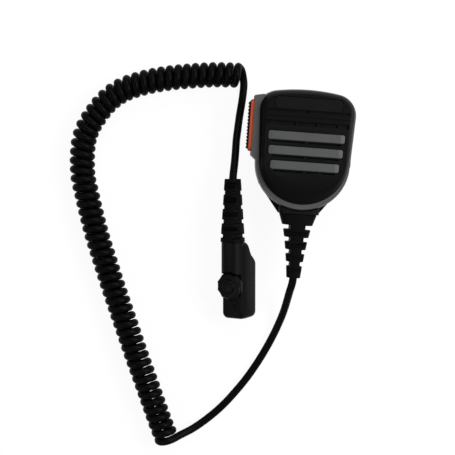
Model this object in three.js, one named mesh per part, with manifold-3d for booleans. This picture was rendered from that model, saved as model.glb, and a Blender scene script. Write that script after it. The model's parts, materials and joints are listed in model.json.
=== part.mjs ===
// Hand microphone for a portable two-way radio, with its curly cord and the side plug that screws to
// the radio. It lies on its back on the belt clip, and the cord and the plug lie on the same surface.
//
// Millimetres. +Z is up out of the resting surface, +Y points to the top of the microphone, +X to its right.
// The origin is on the belt clip's swivel axis, in the plane of the clip arm's outer face.

import * as THREE from 'three';
import { mergeVertices } from 'three/addons/utils/BufferGeometryUtils.js';
import Module from 'manifold-3d';

const wasm = await Module();
wasm.setup();

// ---------------------------------------------------------------- driving dimensions

const GAP = 0.3; // clearance between pieces that sit in or on each other

// Head, seen from the front
const HEAD_WIDTH = 55.2; // front cover at its widest
const HEAD_TOP = 35; // top edge of the front cover
const HEAD_BOTTOM = -31.3; // bottom edge of the front cover
const HEAD_TAPER = 1.4; // how much narrower each side is at its lower end
const BEZEL_SIDE = 3.6; // sloping border beside the panel
const BEZEL_TOP = 3;
const CHIN = 9; // sloping border below the panel
const FRAME_FLARE = 1.8; // how far the side frame stands out beside the front cover
const FRAME_CHIN = 3.7; // and below it

// Head, stacked up from the resting surface
const BACK_Z = 11.5; // flat back of the rear cover
const SEAM_Z = 21; // rear cover meets side frame
const RIM_Z = 30.4; // side frame meets front cover
const PANEL_Z = 36.4; // flat front panel
const WALL = 1.8;
const PANEL_WALL = 2.2;
const REAR_RIM_WALL = 2.6; // the rear cover's edge, thick enough for the seal's groove
const SEAL = { inset: 1.5, width: 1.1, depth: 0.9, clearance: 0.15 };
const SKIRT_DEPTH = 5; // part of the front cover that reaches down inside the side frame

// Front panel features, placed from the top edge
const LABEL = { halfWidth: 19.8, drop: 4.7, height: 6.9, thickness: 0.6, cornerR: 2.5 };
const TOP_GROOVE = { drop: 12.5, width: 1.3, depth: 1 };
const THIN_GROOVE = { drop: 15.9, width: 0.6, depth: 0.5 };
const DEEP_GROOVE = { drop: 19.7, width: 2.6, depth: 1.4, windowMargin: 0.4, bridge: 1.2, windowReach: 18.3 };
const BAR = {
  firstDrop: 27, pitch: 8.5, height: 5, cornerR: 1.2, sunk: 1.2, proud: 0.5, endSlope: 2.4, edgeSlope: 0.4,
};
const BAR_NAMES = ['upper_grille_bar', 'middle_grille_bar', 'lower_grille_bar'];
const BAR_MARGINS = [1.85, 2.45, 4.05]; // from each bar's end to the panel's side
const SLIT = { drop: 3.5, width: 0.75, bridge: 1.6, endMargin: 2.2 };

// Loudspeaker and microphone capsule
const SPEAKER_R = 16;
const SPEAKER_MAGNET_R = 8.3;
const CAPSULE = { r: 3, depth: 3.6, drop: 12.5, portR: 0.6 };

// Talk button on the left side
const TALK = { drop: 6.9, length: 30.2, depth: 7.8, protrusion: 2, travel: 1, cornerR: 3, chamfer: 0.9 };
const TALK_PEDESTAL = 1.6; // the side frame's raised seat around the button
const TALK_RIM = 2.3; // seat beyond each end of the button
const GRIP = { margin: 1.3, proud: 1.1, tooth: 0.6, teeth: 14 };
const STEM_R = 1.2;

// Earphone jack on the right side
const JACK = {
  y: -2, rise: 4.2, barrelR: 2.6, boreR: 1.75, flapLength: 11.4, flapHeight: 6.4, flapThickness: 1.1,
};

// Screws
const CASE_SCREW = { shankR: 1, headR: 2.2, headHeight: 1.8, sunk: 0.4, length: 17, bossR: 2.6 };

// Circuit board, below the seam between the covers
const BOARD_DROP = 2.4;
const BOARD_THICKNESS = 1.6;

// Strain reliefs: [distance from the housing, half-width, half-height]
const MIC_RELIEF_STATIONS = [
  [0, 11.2, 7.7], [6.3, 9.05, 6.9], [9.1, 8.15, 6.4],
  [16.4, 6.75, 5.6], [23.7, 5.7, 5], [31, 4.75, 4.4], [38, 4.1, 3.9],
];
const MIC_RELIEF_SLOTS = {
  first: 6.4, pitch: 7.3, count: 4, side: 2.7, face: 1.8, core: 4.4, coreShrink: 0.5, cheek: 1,
};
const PLUG_RELIEF_STATIONS = [[0, 6.95, 6.95], [37.7, 4.6, 4.6]];
const PLUG_RELIEF_SLOTS = {
  first: 2.6, pitch: 8.6, count: 4, side: 2.2, face: 2.2, core: 3.5, coreShrink: 0.2, cheek: 1,
};
const CORD_Z = 22; // height of the strain relief's axis where the cord leaves the head
const NECK_DROP = 5.7; // from the front cover's bottom edge down to the end of the rear cover's neck
const NECK = { halfWidth: 12, length: 17, below: 7.9, above: 7.7, cornerR: 4.5, collar: 10 };
const CORD_ENTRY = { r: 4.8, pocketR: 6.1, pocketStart: 3.6, pocketEnd: 10 };

// Belt clip
const CLIP = {
  armThickness: 2.4, armHalfWidth: 9, jawY: -24.5, thumbY: 27, baseHalfWidth: 10, baseThickness: 2.6,
};
const PIN = { y: 10, z: 5.3, r: 1, lugR: 2.4, reach: 10.4 };
const EAR_X = 8.45; // middle of each of the base's ears, and half its thickness
const EAR_HALF = 1.15;
const LUG_X = 5.8; // middle of each of the arm's lugs, and half its thickness
const LUG_HALF = 1.2;
const SWIVEL = { shoulderR: 3, threadR: 1.5, headR: 4.5, headHeight: 1.8, washer: 0.6 };

// Cord
const WIRE_R = 2.35;
const COIL_R = 7.65;

// Plug: its own frame has y along the plug towards the cord, z along the knob's axis
const PLUG_ORIGIN = [-28.9, -82.5, 7.2];
const PLUG_TURN = 4; // degrees about the vertical
const PLUG_TILT = 33; // degrees about its own length, the knob towards -X
const PLUG = {
  halfWidth: 7.5, bottom: -20.5, top: 26, back: -4.9, seam: 4.3, front: 13, cordZ: 12, neckR: 6.75,
};
const KNOB = { r: 8.25, scallops: 10, scallop: 0.6, base: 13.3, height: 4.6, capR: 4.3, capTop: 19.2 };
const KNOB_SCREW_R = 1.8;
const CONTACTS = { columns: 3, rows: 2, pitch: 2, r: 0.6, centreY: 8 };

// Route of the cord's centre line, from the strain relief on the head ...
const MIC_LEAD = [
  [0, -76, 22], [-0.1, -77.5, 21.9], [-0.4, -80.2, 21], [-0.9, -83.4, 18.9], [-1.3, -87.4, 16],
  [-1.7, -91.5, 13], [-2.2, -95.7, 10.2], [-2.9, -99.8, 7.7], [-3.9, -104, 5.5],
  [-5.1, -108.1, 3.9], [-6.4, -112.1, 2.9], [-9.7, -119.9, 2.4],
  [-13.5, -127.7, 2.4], [-17.8, -135.5, 2.4],
  [-22.7, -143.4, 2.4], [-28.4, -151.3, 2.4], [-34.8, -159.3, 2.4],
  [-42.7, -167.2, 2.8], [-52.7, -174.8, 4.8], [-60.9, -178.7, 8.4],
];
// ... through the coil, given along its axis ...
const COIL_AXIS = [
  [-68.6, -181.5, 7.7], [-72.5, -173.2, 7.7], [-78, -160.3, 7.7], [-84.1, -145.7, 7.7], [-90.3, -131.2, 7.7],
  [-96.2, -116.7, 7.7], [-102.1, -102.3, 7.7],
  [-107.9, -87.9, 7.7], [-113.4, -73.6, 7.7], [-118.8, -59.3, 7.7],
  [-123.4, -45.1, 7.7], [-126.9, -33.2, 7.7], [-129.3, -24.9, 7.7], [-130.3, -16.6, 7.7], [-130.6, -9.4, 7.7],
  [-130.1, -1.6, 7.7], [-127.9, 6.1, 7.7], [-123.6, 14, 7.7],
  [-117.8, 22, 7.7], [-109.9, 28.7, 7.7], [-98, 34, 7.7],
  [-84.4, 37.8, 7.7], [-70.8, 40.3, 7.7], [-55.6, 42.3, 7.7], [-40.6, 43.2, 7.7],
];
// ... and from the coil's end to the strain relief on the plug.
const PLUG_LEAD = [
  [-37.9, 44.9, 5.6], [-37.2, 42.6, 3.9], [-36.4, 38.7, 2.7], [-36.4, 33.8, 2.5], [-36.9, 26.5, 2.8],
  [-37.7, 19.1, 4], [-38.3, 11.7, 6.2], [-38.9, 4.3, 9.2], [-39.1, -3, 12.7], [-39.4, -10.2, 15.8],
  [-39.7, -14.8, 17], [-39.8, -18.7, 17.2],
];

// ---------------------------------------------------------------- geometry helpers

const MERGE = 1e-5; // corners nearer than this are one corner
const deg = THREE.MathUtils.degToRad;

// In-plane axes and extrusion axis for each direction that a section can be drawn across.
const AXES = {
  x: [[0, 1, 0], [0, 0, 1], [1, 0, 0]],
  y: [[0, 0, 1], [1, 0, 0], [0, 1, 0]],
  z: [[1, 0, 0], [0, 1, 0], [0, 0, 1]],
};

function basis(columns, origin = [0, 0, 0]) {
  return new THREE.Matrix4().makeBasis(...columns.map((c) => new THREE.Vector3(...c))).setPosition(...origin);
}

function arc(cx, cy, radius, from, to, steps) {
  return Array.from({ length: steps + 1 }, (_, i) => {
    const angle = from + ((to - from) * i) / steps;
    return new THREE.Vector2(cx + radius * Math.cos(angle), cy + radius * Math.sin(angle));
  });
}

function circle(cx, cy, radius, sides = 14) {
  return arc(cx, cy, radius, 0, 2 * Math.PI, sides).slice(0, -1);
}

// Rectangle with rounded corners, anticlockwise.
function rectangle([x0, x1], [y0, y1], radius = 0) {
  const corners = [[x1, y0, -1], [x1, y1, 0], [x0, y1, 1], [x0, y0, 2]];
  return corners.flatMap(([x, y, quarter]) => {
    if (radius === 0) return [new THREE.Vector2(x, y)];
    const cx = x === x1 ? x - radius : x + radius;
    const cy = y === y1 ? y - radius : y + radius;
    return arc(cx, cy, radius, (quarter * Math.PI) / 2, ((quarter + 1) * Math.PI) / 2, 2);
  });
}

const polygon = (pairs) => pairs.map(([x, y]) => new THREE.Vector2(x, y));
const blend = (a, b, t) => a.map((p, i) => p.clone().lerp(b[i], t));

// Straight extrusion of a section along an axis, between two places on it.
function prism(axis, section, from, to, hole = null) {
  const shape = new THREE.Shape(section);
  if (hole) shape.holes.push(new THREE.Path(hole));
  const settings = { depth: to - from, bevelEnabled: false, curveSegments: 1 };
  return new THREE.ExtrudeGeometry(shape, settings).translate(0, 0, from).applyMatrix4(basis(AXES[axis]));
}

const box = ([x0, x1], [y0, y1], [z0, z1]) => prism('z', rectangle([x0, x1], [y0, y1]), z0, z1);

// Skin over sections of equal point count, each at its own place on the axis, with both ends closed.
function loft(axis, rings) {
  const count = rings[0].points.length;
  const positions = rings.flatMap(({ at, points }) => points.flatMap((p) => [p.x, p.y, at]));
  const index = [];
  for (let ring = 0; ring < rings.length - 1; ring++) {
    for (let i = 0; i < count; i++) {
      const a = ring * count + i;
      const b = ring * count + ((i + 1) % count);
      index.push(a, b, b + count, a, b + count, a + count);
    }
  }
  const last = (rings.length - 1) * count;
  THREE.ShapeUtils.triangulateShape([...rings[0].points], []).forEach(([a, b, c]) => index.push(a, c, b));
  THREE.ShapeUtils.triangulateShape([...rings.at(-1).points], [])
    .forEach(([a, b, c]) => index.push(last + a, last + b, last + c));
  const geometry = new THREE.BufferGeometry();
  geometry.setAttribute('position', new THREE.Float32BufferAttribute(positions, 3));
  geometry.setIndex(index);
  return geometry.applyMatrix4(basis(AXES[axis]));
}

// Turned shape about a line parallel to z; the profile is [radius, height], anticlockwise.
function turned(profile, x = 0, y = 0, sides = 18) {
  const geometry = new THREE.LatheGeometry(polygon([...profile, profile[0]]), sides);
  return geometry.rotateX(Math.PI / 2).translate(x, y, 0);
}

// Round wire along a smooth curve.
function sweep(points, radius, sides, steps) {
  const path = new THREE.CatmullRomCurve3(points.map((p) => new THREE.Vector3(...p)), false, 'centripetal');
  const section = new THREE.Shape(circle(0, 0, radius, sides));
  return new THREE.ExtrudeGeometry(section, { extrudePath: path, steps, bevelEnabled: false });
}

// One closed skin: shared corners merged, and triangles that shrank to a line dropped.
function closed(geometry) {
  const bare = geometry.clone();
  bare.deleteAttribute('normal');
  bare.deleteAttribute('uv');
  const merged = mergeVertices(bare, MERGE);
  const corners = Array.from(merged.index.array);
  const kept = [];
  for (let i = 0; i < corners.length; i += 3) {
    const [a, b, c] = corners.slice(i, i + 3);
    if (a !== b && b !== c && c !== a) kept.push(a, b, c);
  }
  merged.setIndex(kept);
  return merged;
}

function solid(geometry) {
  const skin = closed(geometry);
  return new wasm.Manifold(new wasm.Mesh({
    numProp: 3,
    vertProperties: new Float32Array(skin.attributes.position.array),
    triVerts: new Uint32Array(skin.index.array),
  }));
}

function skinOf(manifold) {
  const mesh = manifold.getMesh();
  const geometry = new THREE.BufferGeometry();
  geometry.setAttribute('position', new THREE.Float32BufferAttribute(mesh.vertProperties, 3));
  geometry.setIndex(Array.from(mesh.triVerts));
  return geometry;
}

const combine = (method) => (body, ...others) =>
  skinOf(others.flat().reduce((result, other) => result[method](solid(other)), solid(body)));
const join = combine('add');
const cut = combine('subtract');

// ---------------------------------------------------------------- finishes

const finish = (color, roughness, metalness = 0) =>
  new THREE.MeshStandardMaterial({ color, roughness, metalness });
const FINISH = {
  blackPlastic: finish(0x141414, 0.55),
  blackTextured: finish(0x1c1c1c, 0.7),
  greyPlastic: finish(0x565656, 0.45),
  greyBar: finish(0x606060, 0.4),
  orange: finish(0xc8501e, 0.45),
  rubber: finish(0x101010, 0.85),
  cordRubber: finish(0x0b0b0b, 0.5),
  steel: finish(0xb4b6b8, 0.3, 1),
  blackSteel: finish(0x2a2a2c, 0.4, 1),
  brass: finish(0xc9a45a, 0.3, 1),
  board: finish(0x1f5a36, 0.5),
  paper: finish(0x23201d, 0.9),
  mesh: finish(0x303030, 0.6),
};

const microphone = new THREE.Group();

function place(name, material, geometry, parent = microphone) {
  const mesh = new THREE.Mesh(closed(geometry), material);
  mesh.name = name;
  mesh.geometry.computeVertexNormals();
  parent.add(mesh);
}

// ---------------------------------------------------------------- outlines of the head

// Five arcs a side: crown, upper corner, a straight side, lower cheek and bottom, each tangent to the next.
function outline(spec) {
  const cornerX = spec.halfWidth - spec.cornerR;
  const crownY = spec.top - spec.crownR;
  const cornerY = crownY + Math.sqrt((spec.crownR - spec.cornerR) ** 2 - cornerX ** 2);
  const cheekR = spec.lowHalfWidth - spec.cheekX;
  const bottomR = cheekR + spec.flatness;
  const bottomY = spec.bottom + bottomR;
  const cheekY = bottomY - Math.sqrt(spec.flatness ** 2 - spec.cheekX ** 2);
  const rise = new THREE.Vector2(cornerX - spec.cheekX, cornerY - cheekY);
  const side = rise.angle() - Math.acos((cheekR - spec.cornerR) / rise.length());
  const cheekStart = Math.atan2(cheekY - bottomY, spec.cheekX);
  const crownStart = Math.atan2(cornerY - crownY, cornerX);
  const right = [
    ...arc(0, bottomY, bottomR, -Math.PI / 2, cheekStart, 2),
    ...arc(spec.cheekX, cheekY, cheekR, cheekStart, side, 4).slice(1),
    ...arc(cornerX, cornerY, spec.cornerR, side, crownStart, 3),
    ...arc(0, crownY, spec.crownR, crownStart, Math.PI / 2, 2).slice(1),
  ];
  const left = right.slice(1, -1).reverse().map((p) => new THREE.Vector2(-p.x, p.y));
  return [...right, ...left];
}

const grown = (spec, by) => ({
  ...spec,
  halfWidth: spec.halfWidth + by,
  lowHalfWidth: spec.lowHalfWidth + by,
  top: spec.top + by,
  bottom: spec.bottom - by,
  crownR: spec.crownR + by,
  cornerR: spec.cornerR + by,
});

const RIM = {
  halfWidth: HEAD_WIDTH / 2, lowHalfWidth: HEAD_WIDTH / 2 - HEAD_TAPER, cheekX: 0.6, flatness: 1.4,
  top: HEAD_TOP, bottom: HEAD_BOTTOM, crownR: 111, cornerR: 11,
};
const PANEL = {
  halfWidth: RIM.halfWidth - BEZEL_SIDE, lowHalfWidth: RIM.halfWidth - BEZEL_SIDE,
  cheekX: 11.5, flatness: 21.5,
  top: HEAD_TOP - BEZEL_TOP, bottom: HEAD_BOTTOM + CHIN, crownR: 108, cornerR: 7,
};
const FRAME = {
  ...grown(RIM, FRAME_FLARE), top: HEAD_TOP + 1, bottom: HEAD_BOTTOM - FRAME_CHIN,
};
const FRAME_BORE = grown(RIM, -1.5); // inside face of the side frame
const SKIRT = grown(FRAME_BORE, -GAP);
const CAVITY = grown(SKIRT, -1.6);

const SPEAKER_Y = HEAD_TOP - BAR.firstDrop - BAR.pitch + 0.5; // centred behind the middle bar
const INNER_Z = PANEL_Z - PANEL_WALL; // inside face of the front panel
const BAR_CENTRES = BAR_NAMES.map((_, i) => HEAD_TOP - BAR.firstDrop - i * BAR.pitch);
const BAR_HALVES = BAR_MARGINS.map((margin) => PANEL.halfWidth - margin);
const NECK_Y = HEAD_BOTTOM - NECK_DROP;
const FRAME_X = FRAME.halfWidth;

const REAR_BOSS_R = CASE_SCREW.bossR + 0.6;
const SCREW_SEAT_Z = BACK_Z + CASE_SCREW.sunk + CASE_SCREW.headHeight;
const SCREW_TIP_Z = SCREW_SEAT_Z + CASE_SCREW.length;
const BOARD_Z = SEAM_Z - BOARD_DROP;
const BOARD_TOP_Z = BOARD_Z + BOARD_THICKNESS;
const JACK_Z = SEAM_Z + JACK.rise;
const FLAP_X = FRAME.lowHalfWidth - JACK.flapThickness;

// Case screws stand near the four corners of the cavity.
const SCREW_PLACES = [
  [RIM.halfWidth - 10.1, HEAD_TOP - 13], [-(RIM.halfWidth - 10.1), HEAD_TOP - 13],
  [RIM.halfWidth - 15.1, HEAD_BOTTOM + 12.3], [-(RIM.halfWidth - 15.1), HEAD_BOTTOM + 12.3],
];

// Quarter-round slope from a wide outline up to a narrower one.
function dome(wide, narrow, z0, z1) {
  const steps = 4;
  return Array.from({ length: steps + 1 }, (_, i) => {
    const angle = (i / steps) * (Math.PI / 2);
    return { at: z0 + (z1 - z0) * Math.sin(angle), points: blend(wide, narrow, 1 - Math.cos(angle)) };
  });
}

// ---------------------------------------------------------------- talk button's places

const TALK_TOP = HEAD_TOP - TALK.drop;
const TALK_BOTTOM = TALK_TOP - TALK.length;
const TALK_Y = (TALK_TOP + TALK_BOTTOM) / 2;
const TALK_Z = (SEAM_Z + RIM_Z) / 2 + 0.4;
const SEAT_X = -(FRAME_X + TALK_PEDESTAL); // outer face of the side frame's seat
const WELL_FLOOR_X = -(FRAME_X - 0.7);
const BUTTON_IN_X = WELL_FLOOR_X - TALK.travel - 0.5;
const BUTTON_OUT_X = SEAT_X - TALK.protrusion;
const talkSection = (grow) => rectangle(
  [TALK_BOTTOM - grow, TALK_TOP + grow], [TALK_Z - TALK.depth / 2 - grow, TALK_Z + TALK.depth / 2 + grow],
  TALK.cornerR + grow,
);
const SWITCH_X = -(CAVITY.halfWidth - 2.6); // outer face of the talk switch
const STEM_END_X = SWITCH_X - 1.2;

// ---------------------------------------------------------------- head: covers and frame

function frontCover() {
  const skirt = outline(SKIRT);
  const skin = loft('z', [
    { at: RIM_Z - SKIRT_DEPTH, points: skirt },
    { at: RIM_Z + GAP, points: skirt },
    ...dome(outline(RIM), outline(PANEL), RIM_Z + GAP, PANEL_Z),
  ]);
  const hollow = loft('z', [
    { at: RIM_Z - SKIRT_DEPTH - 1, points: outline(CAVITY) },
    ...dome(outline(CAVITY), outline(grown(PANEL, -1.6)), RIM_Z, INNER_Z),
  ]);
  const postFoot = SEAM_Z + 1 + GAP;
  const posts = SCREW_PLACES.map(([x, y]) =>
    prism('z', circle(x, y, CASE_SCREW.bossR), postFoot, INNER_Z + 0.5));
  const pilots = SCREW_PLACES.map(([x, y]) =>
    prism('z', circle(x, y, CASE_SCREW.shankR + 0.2, 12), postFoot - 1, SCREW_TIP_Z + 1));
  return cut(join(cut(skin, hollow), posts), pilots, panelCuts(), [
    prism('x', circle(TALK_Y, TALK_Z, STEM_R + 0.5, 16), -RIM.halfWidth, -CAVITY.halfWidth + 1),
    prism('x', circle(JACK.y, JACK_Z, JACK.barrelR + GAP, 16), CAVITY.halfWidth - 3, RIM.halfWidth + 1),
  ]);
}

// Recess for the label, three grooves, pockets for the bars, and the sound openings.
function panelCuts() {
  const above = PANEL_Z + 1;
  const across = PANEL.halfWidth;
  const groove = (spec) => {
    const y = HEAD_TOP - spec.drop;
    return box([-across, across], [y - spec.width / 2, y + spec.width / 2], [PANEL_Z - spec.depth, above]);
  };
  const cuts = [
    labelShape(GAP, PANEL_Z - LABEL.thickness - GAP, above),
    ...[TOP_GROOVE, THIN_GROOVE, DEEP_GROOVE].map(groove),
    prism('z', circle(0, HEAD_TOP - CAPSULE.drop, CAPSULE.portR, 12), INNER_Z - 1, above),
  ];
  const { drop, windowReach, bridge, width, windowMargin } = DEEP_GROOVE;
  const windowHalf = width / 2 - windowMargin;
  const windowY = [HEAD_TOP - drop - windowHalf, HEAD_TOP - drop + windowHalf];
  const third = (2 * windowReach) / 3;
  for (let i = 0; i < 3; i++) {
    const left = -windowReach + i * third;
    cuts.push(box([left + bridge / 2, left + third - bridge / 2], windowY, [INNER_Z - 1, above]));
  }
  BAR_CENTRES.forEach((y, i) => {
    cuts.push(prism('z', barOutline(BAR_HALVES[i], y, GAP), PANEL_Z - BAR.sunk - GAP, above));
    const slitY = [y - SLIT.drop - SLIT.width / 2, y - SLIT.drop + SLIT.width / 2];
    const reach = BAR_HALVES[i] - SLIT.endMargin;
    cuts.push(box([SLIT.bridge / 2, reach], slitY, [INNER_Z - 1, above]));
    cuts.push(box([-reach, -SLIT.bridge / 2], slitY, [INNER_Z - 1, above]));
  });
  return cuts;
}

function labelShape(grow, from, to) {
  const top = HEAD_TOP - LABEL.drop + grow;
  const half = LABEL.halfWidth + grow;
  return prism('z', rectangle([-half, half], [top - LABEL.height - grow, top], LABEL.cornerR), from, to);
}

function barOutline(half, y, grow) {
  const tall = BAR.height / 2 + grow;
  return rectangle([-half - grow, half + grow], [y - tall, y + tall], BAR.cornerR);
}

// The bar's ends and edges slope down from its flat face.
function grilleBar(half, y) {
  const shoulder = barOutline(half, y, 0);
  const faceHalf = half - BAR.endSlope;
  const faceTall = BAR.height / 2 - BAR.edgeSlope;
  const face = rectangle([-faceHalf, faceHalf], [y - faceTall, y + faceTall], BAR.cornerR - BAR.edgeSlope);
  return loft('z', [
    { at: PANEL_Z - BAR.sunk, points: shoulder },
    { at: PANEL_Z + 0.1, points: shoulder },
    { at: PANEL_Z + BAR.proud, points: face },
  ]);
}

function sideFrame() {
  const ring = loft('z', [
    { at: SEAM_Z, points: outline(grown(FRAME, -0.6)) },
    { at: SEAM_Z + 1.5, points: outline(FRAME) },
    { at: RIM_Z - 2.4, points: outline(grown(FRAME, -0.2)) },
    { at: RIM_Z, points: outline(grown(FRAME, -0.9)) },
  ]);
  const seat = prism('z', polygon([
    [-FRAME_X + 4, TALK_BOTTOM - 7], [-FRAME_X + 4, TALK_TOP + 3.4],
    [SEAT_X, TALK_TOP + TALK_RIM], [SEAT_X, TALK_BOTTOM - TALK_RIM],
  ]), SEAM_Z, RIM_Z + 0.6);
  const flapPocket = prism('x', rectangle(
    [JACK.y - JACK.flapLength / 2 - 2 * GAP, JACK.y + JACK.flapLength / 2 + GAP],
    [JACK_Z - JACK.flapHeight / 2 - GAP, JACK_Z + JACK.flapHeight / 2 + GAP],
  ), FLAP_X - GAP, FRAME_X + 1);
  return cut(join(ring, seat),
    prism('z', outline(FRAME_BORE), SEAM_Z - 1, RIM_Z + 1),
    prism('z', outline(grown(RIM, GAP)), RIM_Z, RIM_Z + 1),
    prism('x', talkSection(GAP), SEAT_X - 1, WELL_FLOOR_X),
    prism('x', circle(TALK_Y, TALK_Z, STEM_R + 1.7, 16), WELL_FLOOR_X - 1, -FRAME_BORE.halfWidth + 1),
    prism('x', circle(JACK.y, JACK_Z, JACK.barrelR + GAP, 16), FRAME_BORE.lowHalfWidth - 2, FRAME_X + 1),
    flapPocket,
    cordPassage());
}

function rearCover() {
  const profile = [[0, -5.5], [0.7, -4], [2.5, -2.4], [5.5, -1.2], [SEAM_Z - BACK_Z - GAP, -0.7]];
  const rings = profile.map(([rise, inset]) => ({ at: BACK_Z + rise, points: outline(grown(FRAME, inset)) }));
  const shell = loft('z', rings);
  const inner = grown(FRAME, -0.7 - REAR_RIM_WALL);
  const hollow = loft('z', [
    { at: BACK_Z + WALL, points: outline(grown(inner, -3.6)) },
    { at: BACK_Z + WALL + 2, points: outline(grown(inner, -0.8)) },
    { at: SEAM_Z + 1, points: outline(inner) },
  ]);
  const bossTop = SEAM_Z + 1;
  const bosses = SCREW_PLACES.map(([x, y]) => prism('z', circle(x, y, REAR_BOSS_R), BACK_Z + 1, bossTop));
  const bores = SCREW_PLACES.flatMap(([x, y]) => [
    prism('z', circle(x, y, CASE_SCREW.shankR + GAP, 14), BACK_Z - 1, bossTop + 1),
    prism('z', circle(x, y, CASE_SCREW.headR + GAP), BACK_Z - 1, SCREW_SEAT_Z + GAP),
  ]);
  const ledges = [-1, 1].map((side) =>
    box([side * 12 - 3, side * 12 + 3], [-2, 4], [BACK_Z + 1, BOARD_Z - GAP]));
  const swivelBoss = prism('z', circle(0, 0, 5), BACK_Z + 1, BACK_Z + 5.5);
  const groove = sealRing(0, SEAM_Z - GAP - SEAL.depth, SEAM_Z + 1);
  return cut(
    join(cut(join(shell, neck()), hollow), bosses, ledges, swivelBoss),
    bores, groove, cordPassage(),
    prism('z', circle(0, 0, SWIVEL.threadR + 0.2, 16), BACK_Z - 1, BACK_Z + 5),
  );
}

// Solid wedge below the head that narrows to the cord's exit, clear of the side frame above it.
function neck() {
  const shoulderX = FRAME.lowHalfWidth - 2.9;
  const shoulderY = NECK_Y + NECK.length;
  const wedge = (inset, foot) => polygon([
    [-NECK.halfWidth + inset, foot], [NECK.halfWidth - inset, foot], [shoulderX - inset, shoulderY],
    [shoulderX - 6 - inset, shoulderY + 4],
    [-shoulderX + 6 + inset, shoulderY + 4], [-shoulderX + inset, shoulderY],
  ]);
  const body = loft('z', [
    { at: BACK_Z + 2.6, points: wedge(3.4, NECK_Y + 1.2) },
    { at: BACK_Z + 4.6, points: wedge(1.2, NECK_Y + 0.2) },
    { at: SEAM_Z - GAP, points: wedge(0, NECK_Y) },
  ]);
  const collarSection = rectangle(
    [CORD_Z - NECK.below, CORD_Z + NECK.above], [-NECK.halfWidth, NECK.halfWidth], NECK.cornerR,
  );
  const collar = prism('y', collarSection, NECK_Y, NECK_Y + NECK.collar);
  const frameRoom = prism('z', outline(grown(FRAME, GAP)), SEAM_Z - GAP, RIM_Z + 5);
  return cut(join(body, collar), frameRoom);
}

// Way in for the cord: a bore through the neck and a wider pocket for the flange of the strain relief.
function cordPassage() {
  const { r, pocketR, pocketStart, pocketEnd } = CORD_ENTRY;
  return [
    prism('y', circle(CORD_Z, 0, r), NECK_Y - 1, NECK_Y + 6),
    prism('y', circle(CORD_Z, 0, pocketR), NECK_Y + pocketStart, NECK_Y + pocketEnd),
  ];
}

// Band that follows the edge of the rear cover: the seal's groove, or the seal inside it.
function sealRing(clearance, from, to) {
  const outer = outline(grown(FRAME, -SEAL.inset - clearance));
  return prism('z', outer, from, to, outline(grown(FRAME, clearance - SEAL.inset - SEAL.width)));
}

function housingSeal() {
  const ring = sealRing(SEAL.clearance, SEAM_Z - GAP - SEAL.depth + 0.2, SEAM_Z - 0.1);
  return cut(ring, box([-7, 7], [NECK_Y - 1, NECK_Y + 10], [SEAM_Z - 5, SEAM_Z + 5]));
}

place('front_cover', FINISH.blackTextured, frontCover());
place('label_plate', FINISH.blackPlastic, labelShape(0, PANEL_Z - LABEL.thickness, PANEL_Z));
BAR_NAMES.forEach((name, i) => place(name, FINISH.greyBar, grilleBar(BAR_HALVES[i], BAR_CENTRES[i])));
place('side_frame', FINISH.greyPlastic, sideFrame());
place('rear_cover', FINISH.blackTextured, rearCover());
place('housing_seal', FINISH.rubber, housingSeal());

// ---------------------------------------------------------------- case screws

// Pan head with a cross slot, and a plain shank.
function caseScrew(x, y) {
  const headFoot = SCREW_SEAT_Z - CASE_SCREW.headHeight;
  const body = turned([
    [0, headFoot], [CASE_SCREW.headR - 0.5, headFoot], [CASE_SCREW.headR, headFoot + 0.6],
    [CASE_SCREW.headR, SCREW_SEAT_Z], [CASE_SCREW.shankR, SCREW_SEAT_Z],
    [CASE_SCREW.shankR, SCREW_TIP_Z - 0.8], [0, SCREW_TIP_Z],
  ], x, y, 10);
  const slot = [headFoot - 1, headFoot + 0.9];
  const cross = [[1.3, 0.3], [0.3, 1.3]];
  return cut(body, cross.map(([w, h]) => box([x - w, x + w], [y - h, y + h], slot)));
}

SCREW_PLACES.forEach(([x, y], i) => place(`case_screw_${i + 1}`, FINISH.blackSteel, caseScrew(x, y)));

// ---------------------------------------------------------------- loudspeaker, capsule and board

const MESH_Z = INNER_Z - 0.45;
const GASKET_Z = MESH_Z - 0.75;
const BASKET_RIM_Z = GASKET_Z - GAP;

const MESH_HALF = PANEL.halfWidth - 4.5;
const MESH_Y = [BAR_CENTRES[2] - 3.5, HEAD_TOP - DEEP_GROOVE.drop + 1.9];
place('dust_mesh', FINISH.mesh,
  prism('z', rectangle([-MESH_HALF, MESH_HALF], MESH_Y, 4), MESH_Z, MESH_Z + 0.25));
const speakerCircle = (radius) => circle(0, SPEAKER_Y, radius, 18);
place('speaker_gasket', FINISH.rubber,
  prism('z', speakerCircle(SPEAKER_R), GASKET_Z, GASKET_Z + 0.5, speakerCircle(SPEAKER_R - 2.4)));
place('speaker_frame', FINISH.steel, turned([
  [4.8, BASKET_RIM_Z - 5.5], [SPEAKER_MAGNET_R + 0.7, BASKET_RIM_Z - 5.5],
  [SPEAKER_R - 1.2, BASKET_RIM_Z - 1],
  [SPEAKER_R, BASKET_RIM_Z - 1], [SPEAKER_R, BASKET_RIM_Z], [SPEAKER_R - 1.8, BASKET_RIM_Z],
  [SPEAKER_MAGNET_R + 0.3, BASKET_RIM_Z - 4.5], [4.8, BASKET_RIM_Z - 4.5],
], 0, SPEAKER_Y));
place('speaker_magnet', FINISH.blackSteel, turned([
  [0, BASKET_RIM_Z - 9.6], [SPEAKER_MAGNET_R, BASKET_RIM_Z - 9.6], [SPEAKER_MAGNET_R, BASKET_RIM_Z - 5.8],
  [0, BASKET_RIM_Z - 5.8],
], 0, SPEAKER_Y));
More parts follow.
